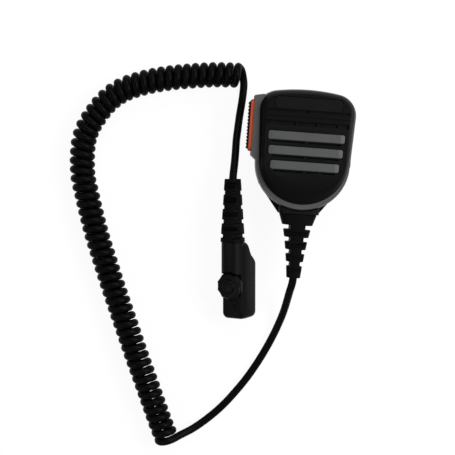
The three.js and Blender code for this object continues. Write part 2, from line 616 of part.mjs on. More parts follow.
place('speaker_cone', FINISH.paper, turned([
  [3.7, BASKET_RIM_Z - 5], [4.2, BASKET_RIM_Z - 5],
  [4.2, BASKET_RIM_Z - 3.6], [SPEAKER_R - 4.4, BASKET_RIM_Z - 0.6],
  [SPEAKER_R - 3.8, BASKET_RIM_Z - 0.6],
  [SPEAKER_R - 3.8, BASKET_RIM_Z - 0.1], [SPEAKER_R - 4.8, BASKET_RIM_Z - 0.1],
  [4.2, BASKET_RIM_Z - 2.9], [0, BASKET_RIM_Z - 1.9], [0, BASKET_RIM_Z - 2.5], [3.7, BASKET_RIM_Z - 3.4],
], 0, SPEAKER_Y));

const CAPSULE_Y = HEAD_TOP - CAPSULE.drop;
const BOOT_TOP_Z = INNER_Z - GAP;
const CAPSULE_TOP_Z = BOOT_TOP_Z - 0.4;
const BOOT_FOOT_Z = BOOT_TOP_Z - CAPSULE.depth - 1.6;
place('mic_capsule', FINISH.steel, turned([
  [0, CAPSULE_TOP_Z - CAPSULE.depth], [CAPSULE.r, CAPSULE_TOP_Z - CAPSULE.depth], [CAPSULE.r, CAPSULE_TOP_Z],
  [0, CAPSULE_TOP_Z],
], 0, CAPSULE_Y, 14));
place('mic_boot', FINISH.rubber, turned([
  [0, BOOT_FOOT_Z], [CAPSULE.r + 1.4, BOOT_FOOT_Z],
  [CAPSULE.r + 1.4, BOOT_TOP_Z], [CAPSULE.r + GAP, BOOT_TOP_Z],
  [CAPSULE.r + GAP, BOOT_FOOT_Z + 0.9], [0, BOOT_FOOT_Z + 0.9],
], 0, CAPSULE_Y, 14));

function circuitBoard() {
  const plate = prism('z', outline(grown(CAVITY, -1.8)), BOARD_Z, BOARD_TOP_Z);
  const clearances = SCREW_PLACES.map(([x, y]) =>
    prism('z', circle(x, y, REAR_BOSS_R + GAP), BOARD_Z - 1, BOARD_TOP_Z + 1));
  return cut(plate, clearances);
}

place('circuit_board', FINISH.board, circuitBoard());

// ---------------------------------------------------------------- talk button and its switch

function talkButton() {
  const section = talkSection(0);
  const crownHalf = TALK.depth / 2 - TALK.chamfer;
  const gripHalf = TALK.depth / 2 - GRIP.margin + GAP;
  const crown = rectangle(
    [TALK_BOTTOM + TALK.chamfer, TALK_TOP - TALK.chamfer], [TALK_Z - crownHalf, TALK_Z + crownHalf],
    TALK.cornerR - TALK.chamfer,
  );
  const body = loft('x', [
    { at: BUTTON_OUT_X, points: crown }, { at: BUTTON_OUT_X + TALK.chamfer, points: section },
    { at: BUTTON_IN_X, points: section },
  ]);
  const gripSeat = box(
    [BUTTON_OUT_X - 1, BUTTON_OUT_X + 0.5], [TALK_BOTTOM + GRIP.margin - GAP, TALK_TOP - GRIP.margin + GAP],
    [TALK_Z - gripHalf, TALK_Z + gripHalf],
  );
  const stemSeat = prism('x', circle(TALK_Y, TALK_Z, STEM_R + 1.8), BUTTON_IN_X - 1.2, BUTTON_IN_X + 1);
  return cut(body, gripSeat, stemSeat);
}

// Rubber pad with a row of ridges across it for the thumb.
function talkGrip() {
  const low = TALK_BOTTOM + GRIP.margin;
  const pitch = (TALK_TOP - GRIP.margin - low) / GRIP.teeth;
  const foot = BUTTON_OUT_X + 0.5 - GAP;
  const crest = BUTTON_OUT_X - GRIP.proud;
  const points = [[foot, low], [foot, TALK_TOP - GRIP.margin]];
  for (let i = GRIP.teeth; i > 0; i--) {
    points.push([crest + GRIP.tooth, low + i * pitch]);
    points.push([crest, low + (i - 0.35) * pitch], [crest, low + (i - 0.65) * pitch]);
  }
  points.push([crest + GRIP.tooth, low]);
  const half = TALK.depth / 2 - GRIP.margin;
  return prism('z', polygon(points), TALK_Z - half, TALK_Z + half);
}

function talkStem() {
  const discX = BUTTON_IN_X - 1.2 + GAP;
  return join(
    prism('x', circle(TALK_Y, TALK_Z, STEM_R + 1.4), discX, discX + 0.8),
    prism('x', circle(TALK_Y, TALK_Z, STEM_R, 14), discX + 0.4, STEM_END_X),
  );
}

const SWITCH_KEY_REACH = 0.85;
place('ptt_button', FINISH.orange, talkButton());
place('ptt_grip', FINISH.rubber, talkGrip());
place('ptt_stem', FINISH.blackPlastic, talkStem());
place('ptt_seal', FINISH.rubber, prism('x', circle(TALK_Y, TALK_Z, STEM_R + 1.4),
  WELL_FLOOR_X + 0.1, -FRAME_BORE.halfWidth - 0.1, circle(TALK_Y, TALK_Z, STEM_R + GAP, 14)));
place('ptt_switch', FINISH.blackPlastic, cut(
  box([SWITCH_X, SWITCH_X + 3.7], [TALK_Y - 3, TALK_Y + 3], [BOARD_TOP_Z + GAP, TALK_Z + 2.4]),
  prism('x', circle(TALK_Y, TALK_Z, 1.2, 14), SWITCH_X - 1, SWITCH_X + 1.9),
));
place('switch_key', FINISH.blackPlastic,
  prism('x', circle(TALK_Y, TALK_Z, 0.85, 14), SWITCH_X - SWITCH_KEY_REACH, SWITCH_X + 0.9));

// ---------------------------------------------------------------- earphone jack and its flap

function audioJack() {
  const bodyX = [CAVITY.halfWidth - 8.6, CAVITY.lowHalfWidth - 0.8];
  const barrelEnd = FLAP_X - GAP;
  return cut(
    join(
      box(bodyX, [JACK.y - 3.2, JACK.y + 3.2], [BOARD_TOP_Z + GAP, JACK_Z + 2.6]),
      prism('x', circle(JACK.y, JACK_Z, JACK.barrelR), bodyX[1] - 1, barrelEnd),
    ),
    prism('x', circle(JACK.y, JACK_Z, JACK.boreR), bodyX[0] + 1.2, barrelEnd + 1),
  );
}

// Rubber flap with a stub that plugs the jack; it swings about its lower end.
function jackFlap() {
  const lid = prism('x', rectangle(
    [JACK.y - JACK.flapLength / 2, JACK.y + JACK.flapLength / 2],
    [JACK_Z - JACK.flapHeight / 2, JACK_Z + JACK.flapHeight / 2], 1,
  ), FLAP_X, FLAP_X + JACK.flapThickness);
  return join(lid, prism('x', circle(JACK.y, JACK_Z, JACK.boreR - 0.45, 16), FLAP_X - 1.5, FLAP_X + 0.5));
}

place('audio_jack', FINISH.blackPlastic, audioJack());
place('jack_cover', FINISH.rubber, jackFlap());

// ---------------------------------------------------------------- strain reliefs

const ellipse = (halfX, halfY, sides = 16) => circle(0, 0, 1, sides).map((p) => {
  const squareness = 0.8;
  const round = (value) => Math.sign(value) * Math.abs(value) ** squareness;
  return new THREE.Vector2(halfX * round(p.x), halfY * round(p.y));
});

// Tapered boot drawn along +z from the housing, with slots that alternate from its sides to its faces.
function strainRelief(stations, slots, root) {
  const boot = loft('z', stations.map(([at, halfX, halfY]) => ({ at, points: ellipse(halfX, halfY) })));
  const widthAt = (z) => {
    const next = stations.findIndex(([at]) => at > z);
    const [a, b] = [stations[next - 1], stations[next]];
    return THREE.MathUtils.mapLinear(z, a[0], b[0], a[1], b[1]);
  };
  const reach = stations[0][1] + 1;
  const cuts = [];
  for (let i = 0; i < slots.count; i++) {
    const sideZ = slots.first + i * slots.pitch;
    const faceZ = sideZ + slots.side / 2 + slots.pitch / 2 - slots.face / 2;
    const core = slots.core - i * slots.coreShrink;
    const cheek = widthAt(faceZ) - slots.cheek;
    for (const side of [-1, 1]) {
      const outward = side > 0 ? [core, reach] : [-reach, -core];
      cuts.push(box(outward, [-reach, reach], [sideZ, sideZ + slots.side]));
      cuts.push(box([-cheek, cheek], outward, [faceZ, faceZ + slots.face]));
    }
  }
  return cut(join(boot, root), cuts);
}

// Root that passes through the housing's wall, with a flange inside it.
const reliefRoot = (r, flangeR, length, flange) => [
  prism('z', circle(0, 0, r), -length, 1),
  prism('z', circle(0, 0, flangeR), -length, -length + flange),
];

place('mic_strain_relief', FINISH.rubber,
  strainRelief(MIC_RELIEF_STATIONS, MIC_RELIEF_SLOTS, reliefRoot(4.5, 5.8, 5.8, 1.6))
    .applyMatrix4(basis([[1, 0, 0], [0, 0, 1], [0, -1, 0]], [0, NECK_Y - GAP, CORD_Z])));

// ---------------------------------------------------------------- belt clip

const BASE_TOP_Z = BACK_Z - GAP;
const BASE_Z = BASE_TOP_Z - CLIP.baseThickness;
const WASHER_Z = BASE_Z - GAP - SWIVEL.washer;
const SCREW_HEAD_Z = WASHER_Z - GAP - SWIVEL.headHeight;

place('swivel_screw', FINISH.steel, cut(turned([
  [0, SCREW_HEAD_Z], [SWIVEL.headR - 0.4, SCREW_HEAD_Z], [SWIVEL.headR, SCREW_HEAD_Z + 0.4],
  [SWIVEL.headR, SCREW_HEAD_Z + SWIVEL.headHeight], [SWIVEL.shoulderR, SCREW_HEAD_Z + SWIVEL.headHeight],
  [SWIVEL.shoulderR, BASE_TOP_Z], [SWIVEL.threadR, BASE_TOP_Z],
  [SWIVEL.threadR, BACK_Z + 4.6], [0, BACK_Z + 4.6],
], 0, 0, 20), box([-3, 3], [-0.5, 0.5], [SCREW_HEAD_Z - 1, SCREW_HEAD_Z + 0.8])));
const washerHole = circle(0, 0, SWIVEL.shoulderR + GAP);
place('swivel_washer', FINISH.steel,
  prism('z', circle(0, 0, SWIVEL.headR + 1), WASHER_Z, WASHER_Z + SWIVEL.washer, washerHole));

function clipBase() {
  const plateSection = rectangle([-CLIP.baseHalfWidth, CLIP.baseHalfWidth], [-11, PIN.y + 5], 4);
  const plate = prism('z', plateSection, BASE_Z, BASE_TOP_Z);
  const ear = [
    ...arc(PIN.y, PIN.z, PIN.lugR, Math.PI, 2 * Math.PI, 8),
    ...polygon([[PIN.y + 3.5, BASE_Z + 1], [PIN.y - 3.5, BASE_Z + 1]]),
  ];
  const ears = [-1, 1].map((side) => prism('x', ear, side * EAR_X - EAR_HALF, side * EAR_X + EAR_HALF));
  return cut(join(plate, ears),
    prism('z', circle(0, 0, SWIVEL.shoulderR + GAP), BASE_Z - 1, BASE_TOP_Z + 1),
    prism('x', circle(PIN.y, PIN.z, PIN.r + GAP, 14), -20, 20));
}

// Flat spring-loaded arm with a hooked jaw at one end, a thumb tab at the other, and two lugs on the pin.
function clipArm() {
  const top = CLIP.armThickness;
  const jaw = CLIP.jawY;
  const profile = polygon([
    [CLIP.thumbY, 0.7], [CLIP.thumbY, top - 0.2],
    [CLIP.thumbY - 0.7, top], [jaw + 5, top], [jaw + 3.4, top + 0.8],
    [jaw + 2.7, top + 2.2], [jaw + 2.7, BACK_Z - 1.2], [jaw + 1.8, BACK_Z - 0.5], [jaw + 0.6, BACK_Z - 0.8],
    [jaw, BACK_Z - 2], [jaw, 3.6], [jaw + 1.2, 1.3], [jaw + 3.6, 0], [CLIP.thumbY - 1.2, 0],
  ].reverse());
  const plate = prism('x', profile, -CLIP.armHalfWidth, CLIP.armHalfWidth);
  const edge = CLIP.armHalfWidth + 0.1;
  const trim = [
    prism('z', polygon([[edge, jaw - 1], [edge, jaw + 9], [edge - 3.1, jaw - 1]]), -1, BACK_Z),
    prism('z', polygon([[-edge, jaw - 1], [3.1 - edge, jaw - 1], [-edge, jaw + 9]]), -1, BACK_Z),
  ];
  const lug = [
    ...arc(PIN.y, PIN.z, PIN.lugR, 0, Math.PI, 8),
    ...polygon([[PIN.y - PIN.lugR, top - 1], [PIN.y + PIN.lugR, top - 1]]),
  ];
  const lugs = [-1, 1].map((side) => prism('x', lug, side * LUG_X - LUG_HALF, side * LUG_X + LUG_HALF));
  return cut(join(plate, lugs), prism('x', circle(PIN.y, PIN.z, PIN.r + GAP, 14), -20, 20), trim);
}

place('clip_base', FINISH.blackPlastic, clipBase());
place('clip_arm', FINISH.blackPlastic, clipArm());
place('clip_pin', FINISH.steel, join(
  prism('x', circle(PIN.y, PIN.z, PIN.r, 14), -PIN.reach, PIN.reach),
  [-1, 1].map((side) =>
    prism('x', circle(PIN.y, PIN.z, PIN.r + 0.6, 14), side * 10.15 - 0.25, side * 10.15 + 0.25)),
));
// Leg of the spring from the sleeve to a leaf of the clip, given by its lower edge at each end.
function springLeg(footZ, rootZ, x) {
  const [foot, root] = [PIN.y - 4.4, PIN.y - 1];
  const side = polygon([[foot, footZ], [root, rootZ], [root, rootZ + 0.8], [foot, footZ + 0.7]]);
  return prism('x', side, x, x + 0.8);
}

// Torsion spring, as its outer shape: a sleeve of turns round the pin, and a leg to each leaf of the clip.
place('clip_spring', FINISH.steel, join(
  prism('x', circle(PIN.y, PIN.z, PIN.r + 1.3, 16), -3.8, 3.8, circle(PIN.y, PIN.z, PIN.r + 0.4, 16)),
  springLeg(BASE_Z - GAP - 0.7, PIN.z + 1.2, 2.9),
  springLeg(CLIP.armThickness + GAP, PIN.z - 2.2, -3.7),
));

// ---------------------------------------------------------------- cord

place('cord_lead_mic', FINISH.cordRubber, sweep(MIC_LEAD, WIRE_R, 8, 26));
place('cord_coil', FINISH.cordRubber, sweep(COIL_AXIS, COIL_R, 10, 40));
place('cord_lead_plug', FINISH.cordRubber, sweep(PLUG_LEAD, WIRE_R, 8, 12));

// ---------------------------------------------------------------- plug

const plug = new THREE.Group();
plug.position.set(...PLUG_ORIGIN);
plug.rotation.set(0, -deg(PLUG_TILT), deg(PLUG_TURN), 'ZYX');
microphone.add(plug);

const plugRing = (at, halfWidth, bottom, top, radius = 3) =>
  ({ at, points: rectangle([-halfWidth, halfWidth], [bottom, top], radius) });
const CONTACT_BLOCK = { halfWidth: 3.4, halfLength: 2.8 };
const BOARD = { halfWidth: 4.8, y: [4.2, 17], z: [0.4, 1.6] };
const PLUG_SCREWS = [-4.2, 4.2];
const PLUG_SCREW_Y = -13;

function screwBores(from, to) {
  return [
    prism('z', circle(0, 0, KNOB_SCREW_R + 0.5), from, to),
    ...PLUG_SCREWS.map((x) => prism('z', circle(x, PLUG_SCREW_Y, 1.1, 12), from, Math.min(to, 10))),
  ];
}

// Room inside both shells for the small board and the wires that come to it.
const plugRoom = () => box([-BOARD.halfWidth - GAP, BOARD.halfWidth + GAP], [3.6, 17.6], [-0.4, 9]);

function plugBackShell() {
  const { halfWidth, bottom, back, seam } = PLUG;
  const shell = loft('z', [
    plugRing(back, halfWidth - 2, bottom + 2.5, 13), plugRing(back + 0.8, halfWidth - 0.7, bottom + 1, 14.6),
    plugRing(back + 2.4, halfWidth - 0.1, bottom + 0.2, 16), plugRing(-0.6, halfWidth, bottom, 17.6),
    plugRing(1.6, halfWidth, bottom, 19), plugRing(seam - GAP, halfWidth, bottom, 22.6),
  ]);
  return cut(shell, plugRoom(), screwBores(back - 1, seam), [
    prism('z', circle(0, 0, 3.7), -2, 0), // room for the knob's retaining ring
    box([-4.9, 4.9], [CONTACTS.centreY - 4.3, CONTACTS.centreY + 4.3], [back - 1, 0]),
    ...PLUG_SCREWS.map((x) => prism('z', circle(x, PLUG_SCREW_Y, 1.9, 14), back - 1, back + 2)),
  ]);
}

function plugFrontShell() {
  const { halfWidth, bottom, top, seam, front, cordZ, neckR } = PLUG;
  const shell = loft('z', [
    plugRing(seam, halfWidth, bottom, 23.2), plugRing(seam + 1, halfWidth, bottom, 25),
    plugRing(seam + 2.2, halfWidth, bottom, top),
    plugRing(front - 2.4, halfWidth - 0.1, bottom + 0.3, top),
    plugRing(front - 0.8, halfWidth - 0.8, bottom + 1.3, top),
    plugRing(front, halfWidth - 2, bottom + 2.8, top),
  ]);
  const hump = prism('y', circle(cordZ, 0, neckR, 16), KNOB.r - 1, top);
  const sideSpan = (side, inner) => (side > 0 ? [inner, halfWidth + 1] : [-halfWidth - 1, -inner]);
  const cheeks = [-1, 1].map((side) => loft('y', [
    { at: 20, points: rectangle([seam - 1, cordZ], sideSpan(side, halfWidth)) },
    { at: top + 1, points: rectangle([seam - 1, cordZ + 8], sideSpan(side, neckR)) },
  ]));
  const platform = prism('z', rectangle([-4.6, 4.6], [bottom + 2.6, -9.6], 2), front - 1, front + 0.5);
  const boss = prism('z', circle(0, bottom + 6.6, 2.6), front, front + 1);
  return cut(join(shell, hump, platform, boss), cheeks, plugRoom(), screwBores(seam - 1, 30), [
    prism('z', circle(0, 0, KNOB.r + 0.7, 20), front - 0.4, 30), // dish that the knob turns in
    prism('y', circle(cordZ, 0, 3.5), 15, top + 1),
    prism('y', circle(cordZ, 0, 4.6), top - 5.6, top - 3.8),
    box([-3, 3], [14, 17.6], [6, cordZ]), // way for the wires from the cord down to the board
  ]);
}

// Finger grip with scallops round its edge and a dished top that holds the cap.
function knob() {
  const rim = (at, grow) => ({
    at,
    points: circle(0, 0, 1, KNOB.scallops * 2).map((p) => {
      const wave = Math.abs(Math.cos((p.angle() * KNOB.scallops) / 2));
      return p.multiplyScalar(KNOB.r + grow - KNOB.scallop * wave);
    }),
  });
  const top = KNOB.base + KNOB.height;
  return cut(
    loft('z', [rim(KNOB.base, -0.7), rim(KNOB.base + 0.7, 0), rim(top - 1.3, 0), rim(top, -1.5)]),
    prism('z', circle(0, 0, KNOB.capR + GAP), top - 1.4, top + 1),
    prism('z', circle(0, 0, KNOB_SCREW_R + GAP, 16), KNOB.base - 1, top - 1.8),
  );
}

function knobScrew() {
  const groove = [-1.5, -0.5];
  const tip = PLUG.back + GAP;
  const end = KNOB.base + KNOB.height - 2.1;
  return turned([
    [0, tip], [KNOB_SCREW_R - 0.5, tip], [KNOB_SCREW_R, tip + 0.6], [KNOB_SCREW_R, groove[0]],
    [KNOB_SCREW_R - 0.6, groove[0]], [KNOB_SCREW_R - 0.6, groove[1]], [KNOB_SCREW_R, groove[1]],
    [KNOB_SCREW_R, end], [0, end],
  ], 0, 0, 12);
}

place('plug_back_shell', FINISH.blackTextured, plugBackShell(), plug);
place('plug_front_shell', FINISH.blackTextured, plugFrontShell(), plug);
place('knob', FINISH.blackPlastic, knob(), plug);
const KNOB_TOP_Z = KNOB.base + KNOB.height;
place('knob_cap', FINISH.blackPlastic, turned([
  [0, KNOB_TOP_Z - 1.1], [KNOB.capR, KNOB_TOP_Z - 1.1], [KNOB.capR, KNOB_TOP_Z - 0.2],
  [KNOB.capR * 0.85, KNOB_TOP_Z + 0.4], [KNOB.capR * 0.5, KNOB.capTop - 0.25], [0, KNOB.capTop],
], 0, 0, 14), plug);
place('knob_screw', FINISH.steel, knobScrew(), plug);
place('knob_retaining_ring', FINISH.steel,
  cut(prism('z', circle(0, 0, 3.2), -1.3, -0.7, circle(0, 0, KNOB_SCREW_R - GAP, 16)),
    box([0, 5], [-0.7, 0.7], [-3, 1])), plug);

const contactSpan = [CONTACTS.centreY - CONTACT_BLOCK.halfLength, CONTACTS.centreY + CONTACT_BLOCK.halfLength];
place('contact_block', FINISH.blackPlastic, cut(
  box([-CONTACT_BLOCK.halfWidth, CONTACT_BLOCK.halfWidth], contactSpan, [PLUG.back + 0.4, -0.6]),
  contactPlaces().map(([x, y]) => prism('z', circle(x, y, CONTACTS.r + GAP, 10), PLUG.back - 1, 1)),
), plug);
contactPlaces().forEach(([x, y], i) => place(`contact_pin_${i + 1}`, FINISH.brass, turned([
  [0, PLUG.back], [CONTACTS.r - 0.2, PLUG.back], [CONTACTS.r, PLUG.back + 0.3], [CONTACTS.r, 0.1], [0, 0.1],
], x, y, 8), plug));
place('plug_board', FINISH.board, cut(
  box([-BOARD.halfWidth, BOARD.halfWidth], BOARD.y, BOARD.z), prism('z', circle(0, 0, 5), -1, 3),
), plug);
place('plug_seal', FINISH.rubber, prism('z',
  rectangle([-4.6, 4.6], [CONTACTS.centreY - 4, CONTACTS.centreY + 4], 0.8), PLUG.back, PLUG.back + 1.6,
  rectangle([-3.7, 3.7], [CONTACTS.centreY - 3.1, CONTACTS.centreY + 3.1], 0.4)), plug);

function contactPlaces() {
  const centred = (i, count) => (i - (count - 1) / 2) * CONTACTS.pitch;
  return Array.from({ length: CONTACTS.columns * CONTACTS.rows }, (_, i) => [
    centred(i % CONTACTS.columns, CONTACTS.columns),
    CONTACTS.centreY + centred(Math.floor(i / CONTACTS.columns), CONTACTS.rows),
  ]);
}

PLUG_SCREWS.forEach((x, i) => place(`plug_screw_${i + 1}`, FINISH.blackSteel, turned([
  [0, PLUG.back + 0.4], [1.5, PLUG.back + 0.4],
  [1.5, PLUG.back + 1.7], [0.8, PLUG.back + 1.7], [0.8, 8.6], [0, 9],
], x, PLUG_SCREW_Y, 10), plug));

place('plug_strain_relief', FINISH.rubber,
  strainRelief(PLUG_RELIEF_STATIONS, PLUG_RELIEF_SLOTS, reliefRoot(3.2, 4.2, 5.5, 1.4))
    .applyMatrix4(basis([[-1, 0, 0], [0, 0, 1], [0, 1, 0]], [0, PLUG.top + GAP, PLUG.cordZ])), plug);

export default microphone;
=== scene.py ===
"""Looks of the hand microphone: camera, light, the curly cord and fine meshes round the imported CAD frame.

Pieces are worked out in millimetres, from the same driving dimensions as the CAD source, and become metres as
they are placed. The camera, the cord, the floor and the lights are in metres. +Z is up, +Y is the top of the
microphone, and the floor is z = 0.
"""
import json
import math

import bmesh
import bpy
from mathutils import Matrix, Vector


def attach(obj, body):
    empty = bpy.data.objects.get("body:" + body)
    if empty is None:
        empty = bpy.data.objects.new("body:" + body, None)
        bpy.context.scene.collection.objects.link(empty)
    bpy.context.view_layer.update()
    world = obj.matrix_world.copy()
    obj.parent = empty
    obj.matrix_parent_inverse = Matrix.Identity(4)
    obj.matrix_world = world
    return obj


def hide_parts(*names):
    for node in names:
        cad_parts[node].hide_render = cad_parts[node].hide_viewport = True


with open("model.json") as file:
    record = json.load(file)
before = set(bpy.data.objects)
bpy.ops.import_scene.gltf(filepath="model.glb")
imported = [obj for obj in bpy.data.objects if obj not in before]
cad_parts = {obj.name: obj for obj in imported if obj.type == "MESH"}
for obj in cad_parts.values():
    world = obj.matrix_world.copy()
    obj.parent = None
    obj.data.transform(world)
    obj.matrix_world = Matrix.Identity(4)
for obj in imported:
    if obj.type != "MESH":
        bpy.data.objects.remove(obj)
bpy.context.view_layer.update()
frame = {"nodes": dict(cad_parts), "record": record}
nodes = frame["nodes"]

MM = 0.001
GAP = 0.3  # clearance between pieces that meet, in millimetres

# ------------------------------------------------------------------ camera

VIEW_TARGET = Vector((-0.0406, -0.0488, 0.010))
VIEW_DISTANCE = 0.56
VIEW_LEAN_X, VIEW_LEAN_Y, VIEW_ROLL = math.radians(3.10), math.radians(-3.64), math.radians(4.01)
LENS, SENSOR = 73.09, 36

back = Vector((-math.tan(VIEW_LEAN_X), -math.tan(VIEW_LEAN_Y), 1)).normalized()
right = Vector((0, 1, 0)).cross(back).normalized()
up = back.cross(right)
image_x = math.cos(VIEW_ROLL) * right + math.sin(VIEW_ROLL) * up
image_y = math.cos(VIEW_ROLL) * up - math.sin(VIEW_ROLL) * right

camera_data = bpy.data.cameras.new("camera")
camera_data.lens = LENS
camera_data.sensor_width = SENSOR
camera = bpy.data.objects.new("camera", camera_data)
camera.matrix_world = Matrix.Translation(VIEW_TARGET + VIEW_DISTANCE * back) @ Matrix(
    (image_x, image_y, back)).transposed().to_4x4()
bpy.context.scene.collection.objects.link(camera)
bpy.context.scene.camera = camera
bpy.context.scene.view_settings.view_transform = "Standard"

# ------------------------------------------------------------------ shader nodes


def feed(tree, socket, value):
    """Links another node's output to the socket, or sets a plain value."""
    if isinstance(value, bpy.types.NodeSocket):
        tree.links.new(value, socket)
    else:
        socket.default_value = value


def math_node(tree, operation, *values):
    node = tree.nodes.new("ShaderNodeMath")
    node.operation = operation
    for socket, value in zip(node.inputs, values):
        feed(tree, socket, value)
    return node.outputs[0]


def range_node(tree, value, from_span, to_span):
    """Takes a value from one span to the other, clamped at both ends."""
    node = tree.nodes.new("ShaderNodeMapRange")
    node.inputs["From Min"].default_value, node.inputs["From Max"].default_value = from_span
    node.inputs["To Min"].default_value, node.inputs["To Max"].default_value = to_span
    feed(tree, node.inputs["Value"], value)
    return node.outputs["Result"]


def mix_node(tree, factor, first, second):
    node = tree.nodes.new("ShaderNodeMix")
    node.data_type = "RGBA"
    feed(tree, node.inputs["Factor"], factor)
    feed(tree, node.inputs["A"], first)
    feed(tree, node.inputs["B"], second)
    return node.outputs["Result"]


def noise_node(tree, place_from, scale, detail):
    node = tree.nodes.new("ShaderNodeTexNoise")
    node.inputs["Scale"].default_value = scale
    node.inputs["Detail"].default_value = detail
    feed(tree, node.inputs["Vector"], place_from)
    return node.outputs["Fac"]


# ------------------------------------------------------------------ materials

NOISE_SPAN = (0.3, 0.7)  # where nearly all of the noise lies
EDGE_SPAN = (0.52, 0.62)  # pointiness, from just above a flat face's to a sharp edge's
BROAD_COARSER = 40  # how many times coarser the broad noise is than the grain
ROUGHNESS_DRIFT = 0.05
WORN_GAIN, WORN_LIFT = 1.6, 0.008
RELIEF_STRENGTH = 0.6


def shaded(colour, gain, lift=0.0):
    return (*[channel * gain + lift for channel in colour], 1)


def material(name, colour, roughness, grain=2200, bump=0.05, metallic=0.0, specular=0.3, wear=0.0,
             mottle=0.15):
    """Moulded or machined surface: fine relief, uneven roughness, colour drift and rubbed edges."""
    made = bpy.data.materials.new(name)
    made.use_nodes = True
    tree = made.node_tree
    shader = tree.nodes["Principled BSDF"]
    shader.inputs["Metallic"].default_value = metallic
    shader.inputs["Specular IOR Level"].default_value = specular
    coordinates = tree.nodes.new("ShaderNodeTexCoord").outputs["Object"]
    fine = noise_node(tree, coordinates, grain, 2)
    broad = noise_node(tree, coordinates, grain / BROAD_COARSER, 4)

    broad_half = math_node(tree, "MULTIPLY", range_node(tree, broad, NOISE_SPAN, (0, 1)), 0.5)
    drift = math_node(tree, "MULTIPLY_ADD", range_node(tree, fine, NOISE_SPAN, (0, 1)), 0.5, broad_half)
    shown = mix_node(tree, drift, shaded(colour, 1 - mottle), shaded(colour, 1 + mottle))
    if wear:
        edge = tree.nodes.new("ShaderNodeNewGeometry").outputs["Pointiness"]
        worn = shaded(colour, WORN_GAIN, WORN_LIFT)
        shown = mix_node(tree, range_node(tree, edge, EDGE_SPAN, (0, wear)), shown, worn)
    feed(tree, shader.inputs["Base Color"], shown)

    roughness_span = (roughness - ROUGHNESS_DRIFT, roughness + ROUGHNESS_DRIFT)
    feed(tree, shader.inputs["Roughness"], range_node(tree, broad, NOISE_SPAN, roughness_span))
    relief = tree.nodes.new("ShaderNodeBump")
    relief.inputs["Strength"].default_value = RELIEF_STRENGTH
    relief.inputs["Distance"].default_value = bump * MM
    feed(tree, relief.inputs["Height"], fine)
    feed(tree, shader.inputs["Normal"], relief.outputs["Normal"])
    return made


COVER = material("cover_black", (0.0018, 0.0018, 0.002), 0.5, grain=1500, bump=0.1, specular=0.035, wear=0.2)
LABEL_FACE = material("label_black", (0.0032, 0.0032, 0.0035), 0.36, grain=2600, bump=0.015, specular=0.05)
FRAME_GREY = material("frame_grey", (0.046, 0.047, 0.048), 0.42, grain=2400, bump=0.03, specular=0.16,
                      wear=0.15)
BAR_GREY = material("bar_grey", (0.052, 0.053, 0.054), 0.40, grain=2400, bump=0.02, specular=0.14)
ORANGE = material("button_orange", (0.38, 0.060, 0.018), 0.42, grain=2400, bump=0.02, specular=0.2,
                  mottle=0.06)
RUBBER = material("grip_rubber", (0.0014, 0.0014, 0.0014), 0.56, grain=1900, bump=0.06, specular=0.03)
SEAL = material("seal_rubber", (0.012, 0.012, 0.012), 0.7, bump=0.04, specular=0.1)
JACKET = material("cord_jacket", (0.0010, 0.0010, 0.0011), 0.36, grain=1600, bump=0.03, specular=0.028)
PLUG_BLACK = material("plug_black", (0.0015, 0.0015, 0.0016), 0.44, grain=1500, bump=0.06, specular=0.035,
                      wear=0.2)
KNOB_BLACK = material("knob_black", (0.0012, 0.0012, 0.0013), 0.32, grain=2400, bump=0.02, specular=0.05)
INNER = material("inner_plastic", (0.012, 0.012, 0.013), 0.45, specular=0.15)
CLIP_BLACK = material("clip_black", (0.005, 0.005, 0.0055), 0.5, grain=1300, bump=0.07, specular=0.1,
                      wear=0.2)
STEEL = material("steel", (0.55, 0.56, 0.57), 0.28, grain=3000, bump=0.01, metallic=1, mottle=0.04)
SCREW_BLACK = material("black_screw", (0.05, 0.05, 0.055), 0.36, grain=3000, bump=0.01, metallic=1)
BRASS = material("contact_brass", (0.80, 0.58, 0.24), 0.22, grain=3000, bump=0.006, metallic=1, mottle=0.05)
BOARD_GREEN = material("board_green", (0.02, 0.12, 0.05), 0.32, grain=900, bump=0.02)
CONE = material("cone_paper", (0.03, 0.028, 0.026), 0.8, grain=1200, bump=0.06)
DUST_MESH = material("mesh_black", (0.004, 0.004, 0.004), 0.7, grain=5000, bump=0.15, specular=0.05)
FELT = material("capsule_felt", (0.004, 0.004, 0.004), 0.9, grain=4000, bump=0.2, specular=0.05)

SLOT_LOOK = {
    "cover_black": COVER, "frame_grey": FRAME_GREY, "bar_grey": BAR_GREY, "button_orange": ORANGE,
    "grip_rubber": RUBBER, "seal_rubber": SEAL, "cord_jacket": JACKET, "plug_black": PLUG_BLACK,
    "knob_black": KNOB_BLACK, "inner_plastic": INNER, "clip_black": CLIP_BLACK, "steel": STEEL,
    "black_screw": SCREW_BLACK, "contact_brass": BRASS, "board_green": BOARD_GREEN, "cone_paper": CONE,
    "mesh_black": DUST_MESH,
}
NODE_SLOT = {row["node"]: row["material_slot"] for row in frame["record"]["subparts"]}
for name, node in nodes.items():
    node.data.materials.clear()
    node.data.materials.append(SLOT_LOOK[NODE_SLOT[name]])
# The port shows only the felt face of the capsule, not its steel can.
nodes["mic_capsule"].data.materials[0] = FELT

# ------------------------------------------------------------------ curves


